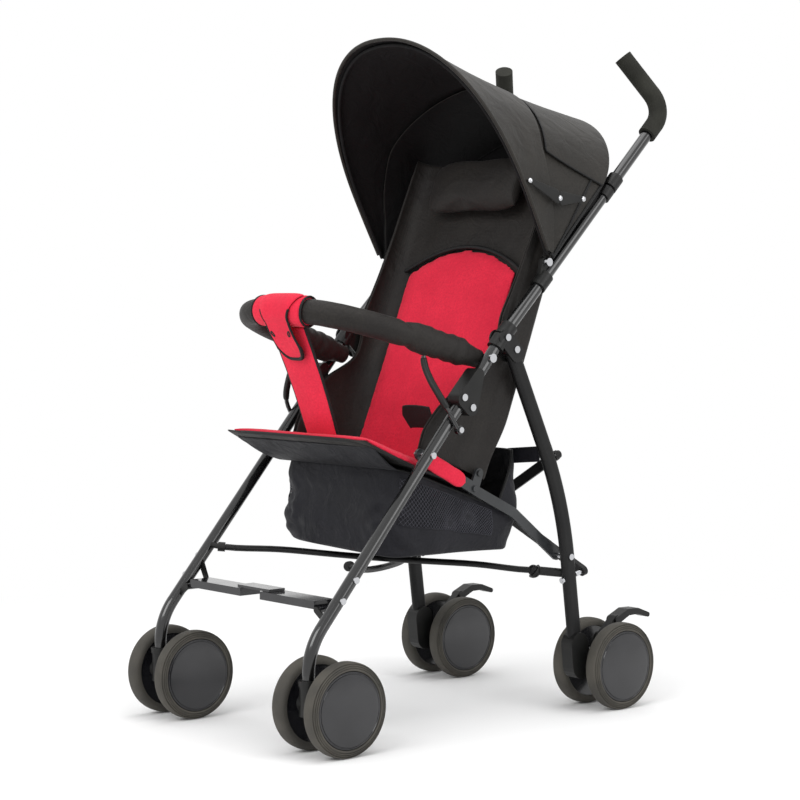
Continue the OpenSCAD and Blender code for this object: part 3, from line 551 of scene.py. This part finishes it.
def sling_ahead(x, h):
    side = clamp((abs(x) - BACK_FLAT) / (wing_x(h) - BACK_FLAT)) ** 1.43
    return along_table(WING_EDGE, h) * (1 - math.sqrt(1 - side * side)) + hollow(x, h)


def back_sling(u, v):
    w = 2 * u - 1
    h = mix(3, BACK_TOP, v)
    bend = math.pi / 2 * clamp((abs(w) - 0.5) / 0.5)
    x = math.copysign(mix(BACK_FLAT, wing_x(h), math.sin(bend) ** 0.7) if bend else 2 * BACK_FLAT * abs(w), w)
    ahead = along_table(WING_EDGE, h) * (1 - math.cos(bend)) + hollow(x, h)
    fold = 5 * crease(x * 1.6, h * 0.3, ahead * 0.9, 40) * (0.2 + 0.8 * math.sin(bend))
    x -= math.copysign(6 + fold, w) * (1 - math.cos(bend)) * sin180(0.5 + v / 2)
    return on_back(x, h, ahead + fold * math.cos(bend))


def back_cover(u, v):
    """The loose outer cover: from one wing's edge round the back to the other."""
    h = mix(6, 520, v)
    edge, reach = wing_x(h) + 1.6, along_table(WING_EDGE, h)
    side = min(u, 1 - u)
    fold = 2.6 * crease(u * 700, h * 0.4, 11, 48)
    if side < 0.2:
        x, ahead = edge, mix(reach, -14, side / 0.2)
        pleat = crease(ahead * 1.3, h * 0.3, 17, 36) + 0.5 * crease(ahead * 2.4, h * 0.25, 29, 24)
        x -= 5.5 * (0.5 + pleat) * sin180(side / 0.2) ** 0.7
    else:
        k = math.pi / 2 * clamp((side - 0.2) / 0.06)
        x = edge - 10 + 10 * math.cos(k) - (edge - 10) * clamp((side - 0.26) / 0.24)
        ahead = -14 - 10 * math.sin(k) + fold
    return on_back(x if u < 0.5 else -x, h, ahead)


def pad_top(x):
    """Height of the red pad's arched upper edge."""
    return 346 + 42 * (1 - (x / PAD_HALF) ** 2)


def back_red(u, w, s):
    x = (2 * u - 1) * PAD_HALF
    h = mix(6, pad_top(x), w)
    sag = 1.2 * crease(x, h * 0.6, 9, 60)
    return on_back(x, h, sling_ahead(x, h) + 6.4 + 3.6 * s + sag)


def head_seam_line(t):
    x = mix(-140, 140, t)
    return on_back(x, pad_top(mix(-PAD_HALF, PAD_HALF, t)) + 1, sling_ahead(x, 370) + 8.5)


def pillow(u, w, s):
    a, b = 2 * u - 1, 2 * w - 1
    full = math.sqrt(max(0, 1 - a ** 4)) * math.sqrt(max(0, 1 - abs(b) ** 3))
    return on_back(108 * a, 490 + 50 * b * (1 - 0.25 * a ** 4), 30 + s * (2 + 16 * full))


sling = give_wall(lay_cloth("backrest_sling", 72, 48, back_sling), 3)
fit(sling, "back_unit", [black_oxford], ["backrest"], gather=BACK_GATHER)
cover = give_wall(lay_cloth("backrest_cover", 100, 44, back_cover), 2.4)
fit(cover, "back_unit", [black_oxford], gather=BACK_GATHER)
back_pad = stuff("backrest_pad", 48, 84, back_red, 4)
fit(back_pad, "back_unit", [red_oxford], gather=BACK_GATHER)
head_seam = roll("backrest_head_binding", head_seam_line, 3.6, 80)
fit(head_seam, "back_unit", [binding_tape], gather=BACK_GATHER)
head_pad = stuff("head_pillow_pad", 40, 40, pillow, 6)
fit(head_pad, "back_unit", [black_oxford], ["head_pillow"], gather=BACK_GATHER)


# bumper bar: wrinkled sleeve, red wrap with a hanging flap, crotch strap
WRAP_LEFT, WRAP_RIGHT = 0.425, 0.531  # the wrap's ends along the bar


def bumper_line(t):
    c, s = math.cos(math.pi * t), max(0.0, math.sin(math.pi * t))
    return 165.3 * swell_power(c, 0.62), -13.5 - 260 * s ** 0.8, 568.5 + 75 * s ** 0.8


def sleeve_size(t, angle):
    end = min(t, 1 - t)
    size = mix(14.5, 19.4, ease(end / 0.035)) + 2.2 * ease(end / 0.05) * ease(1 - (end - 0.05) / 0.12)
    bunch = ease(1.15 - end / 0.17)
    rings = math.sin(end * 260 + 2.2 * math.sin(angle) + 3 * crease(end * 300, 40 * math.cos(angle), 0, 40))
    slack = crease(t * 520, 26 * math.cos(angle), 26 * math.sin(angle), 34)
    twist = (end - 0.15 - 0.016 * math.sin(angle + 0.6)) / 0.011
    size += 3.4 * ease(1 - abs(end - 0.105) / 0.05) - 3.2 * math.exp(-twist * twist)
    return size + 0.9 * bunch * rings * ease(end / 0.03) + (0.8 + 3.2 * bunch) * slack * ease(end / 0.04)


def wrap_size(t, angle):
    slack = 0.5 * crease(t * 150, 30 * math.cos(angle), 30 * math.sin(angle), 30)
    return mix(21.5, 24, ease(min(t, 1 - t) / 0.06)) + slack


def circle(middle, first, second, radius):
    """A route round middle, in the plane of two directions."""
    def route(k):
        angle = 2 * math.pi * k
        return Vector(middle) + radius * (first * math.cos(angle) + second * math.sin(angle))
    return route


sleeve = roll("bumper_sleeve", lambda t: bumper_line(mix(0.0002, 0.9998, t)), sleeve_size, 260, 40)
fit(sleeve, "seat_unit", [black_oxford], ["bumper_cover"])
wrap = roll("bumper_wrap", lambda t: bumper_line(mix(WRAP_LEFT, WRAP_RIGHT, t)), wrap_size, 60, 40)
fit(wrap, "seat_unit", [red_oxford], ["bumper_pad"])
for end, t in (("left", WRAP_LEFT), ("right", WRAP_RIGHT)):
    way = (Vector(bumper_line(t + 0.001)) - Vector(bumper_line(t - 0.001))).normalized()
    over = (Vector((0, 0, 1)) - way * way.z).normalized()
    hoop = circle(bumper_line(t), over, way.cross(over), 22.6)
    fit(roll(f"wrap_binding_{end}", hoop, 2.0, 48), "seat_unit", [binding_tape])


# the bar's middle, and how far the wrap sits to its left
BAR_Y, BAR_Z = bumper_line(0.5)[1:]
WRAP_X = 12


def flap_shape(u, v):
    """The wrap's tongue: over the bar's top, down its front and on to the strap, rounded at its end."""
    w = 2 * u - 1
    reach = v * (1 - 0.13 * w ** 4)
    x = WRAP_X + 8 + w * mix(46, 27, ease(reach / 0.62))
    if reach < 0.55:
        angle = math.radians(mix(95, 222, reach / 0.55))
        lift = 25.8 - 2.6 * abs(w) ** 5 * ease(1.6 - 3 * reach)
        return x, BAR_Y + lift * math.cos(angle), BAR_Z + lift * math.sin(angle)
    k = (reach - 0.55) / 0.45
    return x, BAR_Y + mix(-19.2, 19, k) - 4 * sin180(k), BAR_Z + mix(-17.3, -73, k)


def strap_shape(u, v):
    w = 2 * u - 1
    y = mix(BAR_Y + 8, -196, v) + 3 * sin180(v) - 2.2 * (1 - w * w)
    return WRAP_X + w * mix(42, 37, v), y + 0.8 * crease(w * 30, v * 170, 3, 30), mix(BAR_Z - 25, 447, v)


def flap_edge(t):
    if t < 0.4:
        return flap_shape(0, mix(0.4, 1, t / 0.4))
    return flap_shape((t - 0.4) / 0.2, 1) if t < 0.6 else flap_shape(1, mix(1, 0.4, (t - 0.6) / 0.4))


def flap_tape_size(t, angle):
    return 1.9 + 1.7 * ease(1.5 - abs(t - 0.5) / 0.1)


flap = give_wall(lay_cloth("wrap_flap", 28, 36, flap_shape), 2.4)
flap_tape = roll("wrap_flap_binding", flap_edge, flap_tape_size, 160)
fit(flap, "seat_unit", [red_oxford])
fit(flap_tape, "seat_unit", [binding_tape])
for end, u in (("left", 0.87), ("right", 0.13)):
    middle = Vector(flap_shape(u, 0.72))
    along = (Vector(flap_shape(u + 0.02, 0.72)) - middle).normalized()
    down = (Vector(flap_shape(u, 0.74)) - middle).normalized()
    out = along.cross(down)
    out = out if out.y < 0 else -out
    eye = circle(middle + out * 1.4, along, down, 3.6)
    fit(roll(f"flap_eyelet_{end}", eye, 1.3, 24), "seat_unit", [black_pp])

strap = give_wall(lay_cloth("crotch_strap_pad", 20, 44, strap_shape), 5)
fit(strap, "seat_unit", [red_oxford], ["crotch_strap"])
for end, u in (("left", 1), ("right", 0)):
    tape = roll(f"crotch_strap_binding_{end}", lambda t: strap_shape(u, t), 2.4, 60)
    fit(tape, "seat_unit", [binding_tape])


# lap belt: the webbing end that lies across the seat

def belt_shape(u, v):
    tip = 9 * clamp(1 - 5 * u) * abs(2 * v - 0.8)
    return mix(94, 157, u) + tip, mix(-112, -98, v) + 6 * u, mix(497, 461, v) + 2 * sin180(u)


belt = give_wall(lay_cloth("lap_belt_webbing", 30, 12, belt_shape), 2.6)
fit(belt, "seat_unit", [binding_tape], ["lap_belt"])


# hood: two curved sheets, one behind the other, sewn together under the front one's rear edge
HOOD_Y, HOOD_Z = 106, 719  # its side pivots
FRONT_TILT, REAR_TILT = 117.3, 47  # its front and rear edges, degrees up from straight back
CLOTH_ENDS = (0.02, 0.98)  # where the cloth ends along an arch
HOOD_WALL = 1.8
HOOD_HALF = 205


def arch(t, half, reach, low, e):
    """Sideways place and reach from the pivots, t from 0 on the left to 1 on the right."""
    return half * swell_power(math.cos(math.pi * t), e), low + (reach - low) * sin180(t) ** e


def front_arch(t):
    if t < 0.14 or t > 0.86:
        k = (t if t < 0.5 else 1 - t) / 0.14
        x = mix(HOOD_HALF, 208, math.sin(math.pi / 2 * k))
        return (x if t < 0.5 else -x), mix(2, 120, k)
    return arch((t - 0.14) / 0.72, 208, 393, 120, 0.9)


def rear_arch(t):
    if t < 0.3 or t > 0.7:
        k = (t if t < 0.5 else 1 - t) / 0.3
        return (HOOD_HALF if t < 0.5 else -HOOD_HALF), mix(2, 170, k)
    return arch((t - 0.3) / 0.4, HOOD_HALF, 345, 170, 1.25)


def on_bow(point, degrees, grow):
    turn = math.radians(degrees)
    reach = point[1] + grow
    x = point[0] * (1 + grow / 220)
    return Vector((x, HOOD_Y + reach * math.cos(turn), HOOD_Z + reach * math.sin(turn)))


def hood_shape(t, v, grow):
    """The hood at t along its arch and v from its front to its rear edge, grow mm outside its middle."""
    sag = 10 * sin180(v) * sin180(t)
    front = on_bow(front_arch(t), FRONT_TILT, grow - sag)
    return front.lerp(on_bow(rear_arch(t), REAR_TILT, grow - sag), v)


def hood_folds(t, v):
    x, y, z = hood_shape(t, v, 0)
    side = 1 - sin180(t) ** 2
    drawn = 1.5 * crease(x * 0.4, y * 1.3 + z * 0.5, z * 0.35 - y * 0.3, 30) * side * ease(v / 0.5)
    return (1.5 * crease(x, y * 0.7, z * 0.7, 50) + drawn) * sin180(clamp(v)) ** 0.5


def low_side(t):
    """1 at the hood's pivots, 0 from a third of its height up."""
    return 1 - ease(sin180(t) / 0.35)


def hood_front_cloth(u, v):
    t = mix(*CLOTH_ENDS, u)
    edge = 0.56 + 0.07 * low_side(t)
    calm = clamp((1 - v) / 0.2)
    v = mix(0, edge, v)
    return hood_shape(t, v, 1.6 + abs(hood_folds(t, v)) * calm)


def hood_rear_cloth(u, v):
    t = mix(*CLOTH_ENDS, u)
    edge = 0.5 + 0.12 * low_side(t)
    calm = clamp(v / 0.2)
    v = mix(edge, 1, v)
    return hood_shape(t, v, -5 - abs(hood_folds(t, v)) * calm)


def hood_seam_line(t):
    """The seam under the front cloth's rear edge, where the two panels are sewn together."""
    t = mix(*CLOTH_ENDS, t)
    return hood_shape(t, 0.535 + 0.09 * low_side(t), -1.8)


def hood_flap_cloth(u, v):
    t, v = mix(0.3, 0.7, u), mix(0.6, 1.0, v)
    return hood_shape(t, v, -2 + 1.2 * abs(2 * u - 1) ** 3 - 0.6 * abs(hood_folds(t, v)))


def hood_drop_cloth(u, v):
    """The valance that hangs from the rear bow down behind the backrest."""
    x, y, z = hood_shape(mix(*CLOTH_ENDS, u), 1, -6.4)
    fold = 5 * crease(u * 420, v * 60, 7, 40) * v
    return x * (1 - 0.06 * v), y - 14 * v * sin180(u) + fold * sin180(u), z - 4 * v - 105 * v * sin180(u) ** 3


hood_front = give_wall(lay_cloth("hood_front_panel", 96, 28, hood_front_cloth), HOOD_WALL, lining=1)
fit(hood_front, "hood_unit", [hood_oxford, hood_lining], ["hood_front"])
hood_rear = give_wall(lay_cloth("hood_rear_panel", 96, 28, hood_rear_cloth), HOOD_WALL, lining=1)
fit(hood_rear, "seat_unit", [hood_oxford, hood_lining], ["hood_rear"])
hood_flap = give_wall(lay_cloth("hood_window_flap", 48, 20, hood_flap_cloth), HOOD_WALL, lining=1)
fit(hood_flap, "seat_unit", [hood_oxford, hood_lining])

hood_drop = give_wall(lay_cloth("hood_rear_drop", 72, 16, hood_drop_cloth), HOOD_WALL)
fit(hood_drop, "seat_unit", [hood_lining])

rim = roll("hood_rim_binding", lambda t: hood_shape(mix(*CLOTH_ENDS, t), 0, 1.2), 3.0, 200)
fit(rim, "hood_unit", [hood_oxford])
bow = roll("hood_front_bow", lambda t: hood_shape(mix(*CLOTH_ENDS, t), 0.02, -5.2), 3.2, 160)
fit(bow, "hood_unit", [hood_lining], ["hood_bow"])
for k, (v, grow, size) in enumerate(((1.0, -4.4, 2.8), (0.93, -3.6, 2.2))):
    line = roll(f"hood_rear_piping_{k}", lambda t: hood_shape(mix(*CLOTH_ENDS, t), v, grow), size, 200)
    fit(line, "seat_unit", [binding_tape])
seam = roll("hood_seam_binding", hood_seam_line, 3.4, 200)
fit(seam, "seat_unit", [binding_tape])


def flap_border(t):
    if t < 0.3:
        return hood_flap_cloth(0, mix(1, 0, t / 0.3))
    return hood_flap_cloth((t - 0.3) / 0.4, 0) if t < 0.7 else hood_flap_cloth(1, (t - 0.7) / 0.3)


flap_piping = roll("hood_flap_binding", flap_border, 1.6, 160)
fit(flap_piping, "seat_unit", [binding_tape])


def find_on_hood(y, z):
    """The t and v of the hood's left side nearest to a length place and height."""
    best = min(((hood_shape(i / 400, j / 200, 0).yz - Vector((y, z))).length, i / 400, j / 200)
               for i in range(4, 120) for j in range(201))
    return best[1], best[2]


# stay plates: two riveted arms on each side of the hood
stay_marks = [find_on_hood(52, 844), find_on_hood(116, 818), find_on_hood(170, 819)]
RIVET_SPANS = ((208.6, 216.8), (213.2, 217.0), (211.2, 214.6))  # inner and outer end of each rivet


def stay_arm(first, second, out, wide_end):
    def place(u, v):
        spot = hood_shape(*first, 0).lerp(hood_shape(*second, 0), u)
        swell = u if wide_end else 1 - u
        half = (5 + 8 * swell ** 1.5) * math.sqrt(max(0.05, 1 - (2 * u - 1) ** 10))
        return Vector((out, spot.y, spot.z + (2 * v - 1) * half))
    return place


def mirrored(place):
    def other(u, v):
        x, y, z = place(u, v)
        return -x, y, z
    return other


for side, sign in SIDES:
    for arm, body, ends, out in (("front", "hood_unit", (0, 1), 214.2), ("rear", "seat_unit", (1, 2), 211.8)):
        place = stay_arm(stay_marks[ends[0]], stay_marks[ends[1]], out, arm == "front")
        plate = lay_cloth(f"hood_stay_{arm}_{side}", 24, 6, place if sign > 0 else mirrored(place))
        give_wall(plate, 1.6)
        fit(plate, body, [black_pp])
    for k, (t, v) in enumerate(stay_marks):
        spot = hood_shape(t, v, 0)
        low, high = RIVET_SPANS[k]
        clear_selection()
        bpy.ops.mesh.primitive_uv_sphere_add(segments=20, ring_count=10, radius=1)
        rivet = bpy.context.object
        rivet.name = rivet.data.name = f"hood_rivet_{k}_{side}"
        middle = at(sign * (low + high) / 2, spot.y, spot.z)
        size = Matrix.Diagonal(((high - low) / 2000, 0.0042, 0.0042, 1))
        rivet.data.transform(Matrix.Translation(middle) @ size)
        bpy.ops.object.shade_smooth()
        fit(rivet, "seat_unit" if k == 2 else "hood_unit", [bolt_chrome])


# basket: a limp bag under the seat with net sides
BAG_Y = -33  # its middle
BAG_HALF_X, BAG_HALF_Y = 153, 124
BAG_FLOOR = 0.3  # share of the cloth that is the bag's floor
BAG_WALL = 2.0


def basket_ring(angle, v):
    """The bag's outline at a height v from its floor, 0, to its hem, 1."""
    c, s = math.cos(angle), math.sin(angle)
    full = 0.93 + 0.07 * math.sin(math.pi / 2 * min(1, 2.5 * v)) + 0.02 * sin180(v)
    x = BAG_HALF_X * full * swell_power(c, 0.32)
    y = BAG_Y + BAG_HALF_Y * full * swell_power(s, 0.32)
    deep = (1 - v) ** 0.7
    y += deep * (11 * ease((y - 20) / 70) - 12 * ease((-90 - y) / 60))
    x += deep * math.copysign(7, x) * ease((-30 - y) / 60) * abs(swell_power(c, 0.32))
    low = 276 - 6 * (y + 160) / 250 - 5 * (1 - c ** 4) - 6 * x / BAG_HALF_X
    if y < 40:
        high = mix(406, 333, clamp((y + 160) / 200))
    else:
        high = mix(333, 420, min(1, (y - 40) / 40))
    return x, y, mix(low, high, v)


def basket_bag(u, v):
    angle = 2 * math.pi * u
    if v < BAG_FLOOR:
        x, y, z = basket_ring(angle, 0)
        k = v / BAG_FLOOR
        z = mix(268, z, k ** 4) + 2 * crease(x * k, y * k, 0, 40) * (1 - k)
        return x * k, BAG_Y + (y - BAG_Y) * k, z
    k = (v - BAG_FLOOR) / (1 - BAG_FLOOR)
    x, y, z = basket_ring(angle, k)
    loose = sin180(k ** 0.7) * mix(9.5, 4, ease((y + 150) / 60))
    fold = crease(x * 0.8, y * 0.8, z * 1.1, 46) + 0.5 * crease(x * 1.2 + 90, y, z * 1.6, 24)
    push = 1 + loose * (fold - 0.25) / 130
    y += 9 * ease((y - 40) / 45) * k
    return x * push, BAG_Y + (y - BAG_Y) * push, z + 4 * crease(x, y, 5, 36) * sin180(k)


bag = give_wall(lay_cloth("basket_bag", 120, 48, basket_bag), BAG_WALL)
fit(bag, "seat_unit", [basket_oxford], ["basket"])
hem = roll("basket_hem", lambda t: basket_bag(t, 1), 2.2, 240)
bag_trim = [fit(hem, "seat_unit", [binding_tape])]


def net_side(u, v):
    y = mix(-146, 24, u)
    angle = math.asin(clamp(abs(y - BAG_Y) / BAG_HALF_Y) ** 3.125 * (1 if y > BAG_Y else -1))
    k = mix(0.36, 0.9, v)
    x, y, z = basket_bag((angle / (2 * math.pi)) % 1, mix(BAG_FLOOR, 1, k))
    return x + 2.2, y, z


for side, place in (("left", net_side), ("right", mirrored(net_side))):
    net = lay_cloth(f"basket_net_{side}", 34, 9, place)
    corners = len(net.data.vertices)
    bpy.ops.object.mode_set(mode="EDIT")
    bpy.ops.mesh.select_all(action="SELECT")
    bpy.ops.mesh.poke()
    bpy.ops.mesh.select_mode(type="EDGE")
    bpy.ops.mesh.select_all(action="DESELECT")
    bpy.ops.object.mode_set(mode="OBJECT")
    border = set()
    for face in net.data.polygons:
        for key in face.edge_keys:
            border.symmetric_difference_update([key])
    for edge in net.data.edges:
        edge.select = max(edge.vertices) < corners and edge.key not in border
    bpy.ops.object.mode_set(mode="EDIT")
    bpy.ops.mesh.dissolve_edges(use_verts=False)
    bpy.ops.mesh.select_mode(type="VERT")
    bpy.ops.object.mode_set(mode="OBJECT")
    cords = net.modifiers.new("cords", "WIREFRAME")
    cords.thickness = 0.0013
    cords.use_even_offset = False
    apply_all(net)
    bag_trim.append(fit(net, "seat_unit", [net_thread]))


def leg_tab(u, v):
    return mix(108, 182.5, u), mix(103.5, 104, u) + 3 * sin180(u), mix(397, 422, v) + 7 * u


for side, place in (("left", leg_tab), ("right", mirrored(leg_tab))):
    tab = give_wall(lay_cloth(f"basket_tab_{side}", 16, 10, place), BAG_WALL)
    fit(tab, "seat_unit", [basket_oxford])


def front_skirt(u, v):
    w = 2 * u - 1
    x = w * mix(171, 149, v)
    fold = crease(x, v * 70, 2, 45)
    return x, mix(-230, -159.5, v ** 0.85) + 3 * fold * sin180(v), mix(441, 402, v) - 6 * sin180(v)


skirt = give_wall(lay_cloth("basket_front_skirt", 60, 16, front_skirt), BAG_WALL)
fit(skirt, "seat_unit", [basket_oxford])


# bumper stays: a rubber sleeve over each thin rod

def stay_line(t):
    """The thin rod from the bumper bar down to the front tube."""
    k = ease(t / 0.86)
    return mix(161, 203.4, k), -121 + 21 * t * t + 12 * t ** 4, 575.2 - 112 * t


def rubber_size(t, angle):
    return 5.4 - 0.9 * (2 * t - 1) ** 12


def stay_sleeve(sign):
    def route(t):
        x, y, z = stay_line(mix(0.03, 0.7, t))
        return sign * x, y, z
    return route


for side, sign in SIDES:
    rubber = roll(f"stay_rubber_{side}", stay_sleeve(sign), rubber_size, 64, 16)
    fit(rubber, f"{side}_frame", [black_pp], gather=0)


# seat side sleeves: the red cloth wrapped round each seat rail
RAIL_FRONT, RAIL_BACK = (-127, 421.5), (-47, 379.4)


def rail_sleeve(sign):
    def place(u, v):
        angle = 2 * math.pi * v
        end = math.sqrt(max(0.02, 1 - (2 * u - 1) ** 10))
        high = 12.4 * swell_power(math.sin(angle), 0.7) * end
        wide = 5.2 * swell_power(math.cos(angle), 0.5)
        y, z = mix(RAIL_FRONT[0], RAIL_BACK[0], u), mix(RAIL_FRONT[1], RAIL_BACK[1], u)
        ripple = 0.8 * crease(u * 90, 20 * math.cos(angle), 20 * math.sin(angle), 22)
        return sign * (169.5 + wide + ripple), y + 0.466 * high, z + 0.885 * (high + ripple)
    return place


for side, sign in SIDES:
    rail_cloth = lay_cloth(f"seat_side_sleeve_{side}", 48, 28, rail_sleeve(sign), True)
    fit(rail_cloth, f"{side}_rail", [red_oxford], gather=0)


# floor, light and backdrop

def seen_rays(tree):
    """1 where the camera sees the backdrop, straight, mirrored or through something, and 0 for its light."""
    ray = add(tree, "LightPath")
    shown = ray.outputs["Is Camera Ray"]
    for other in ("Is Glossy Ray", "Is Transmission Ray"):
        shown = add(tree, "Math", {0: shown, 1: ray.outputs[other]}, operation="MAXIMUM").outputs[0]
    return shown


clear_selection()
bpy.ops.mesh.primitive_plane_add(size=14)
floor = bpy.context.object
floor.name = floor.data.name = "studio_floor"
pale, tree, place = start_finish("white_paper_floor")
shown = seen_rays(tree)
reach = add(tree, "VectorMath", {0: place}, operation="LENGTH")
far = add(tree, "MapRange", {"Value": reach.outputs["Value"], "From Min": 0.75, "From Max": 1.5},
          interpolation_type="SMOOTHSTEP")
far = add(tree, "Math", {0: far.outputs["Result"], 1: shown}, operation="MULTIPLY")
paper = add(tree, "BsdfPrincipled", {"Base Color": tone("#F8F8F8"), "Roughness": 0.95})
glow = add(tree, "Emission", {"Color": (1, 1, 1, 1), "Strength": 1.0})
sweep = add(tree, "MixShader", {0: far.outputs[0], 1: paper.outputs[0], 2: glow.outputs[0]})
add(tree, "OutputMaterial", {"Surface": sweep.outputs[0]})
floor.data.materials.append(pale)

room = bpy.data.worlds.new("white_room")
room.use_nodes = True
tree = room.node_tree
tree.nodes.clear()
shown = seen_rays(tree)
level = add(tree, "MapRange", {"Value": shown, "To Min": 0.78, "To Max": 1.0})
sky = add(tree, "Background", {"Color": (1, 1, 1, 1), "Strength": level.outputs["Result"]})
add(tree, "OutputWorld", {"Surface": sky.outputs[0]})
scene.world = room


def soft_box(name, place, aim, size, power):
    lamp = bpy.data.lights.new(name, "AREA")
    lamp.shape = "RECTANGLE"
    lamp.size, lamp.size_y = size
    lamp.energy = power
    holder = bpy.data.objects.new(name, lamp)
    scene.collection.objects.link(holder)
    holder.location = place
    holder.rotation_euler = (Vector(aim) - Vector(place)).to_track_quat("-Z", "Y").to_euler()


soft_box("key_box", (0.8, -3.2, 2.6), (0, 0, 0.5), (2.4, 1.6), 55)
soft_box("fill_box", (3.2, 0.8, 1.8), (0, 0, 0.5), (1.8, 2.2), 32)
soft_box("top_box", (0, 0.2, 3.4), (0, 0, 0.5), (2.6, 2.6), 40)

bpy.context.view_layer.update()
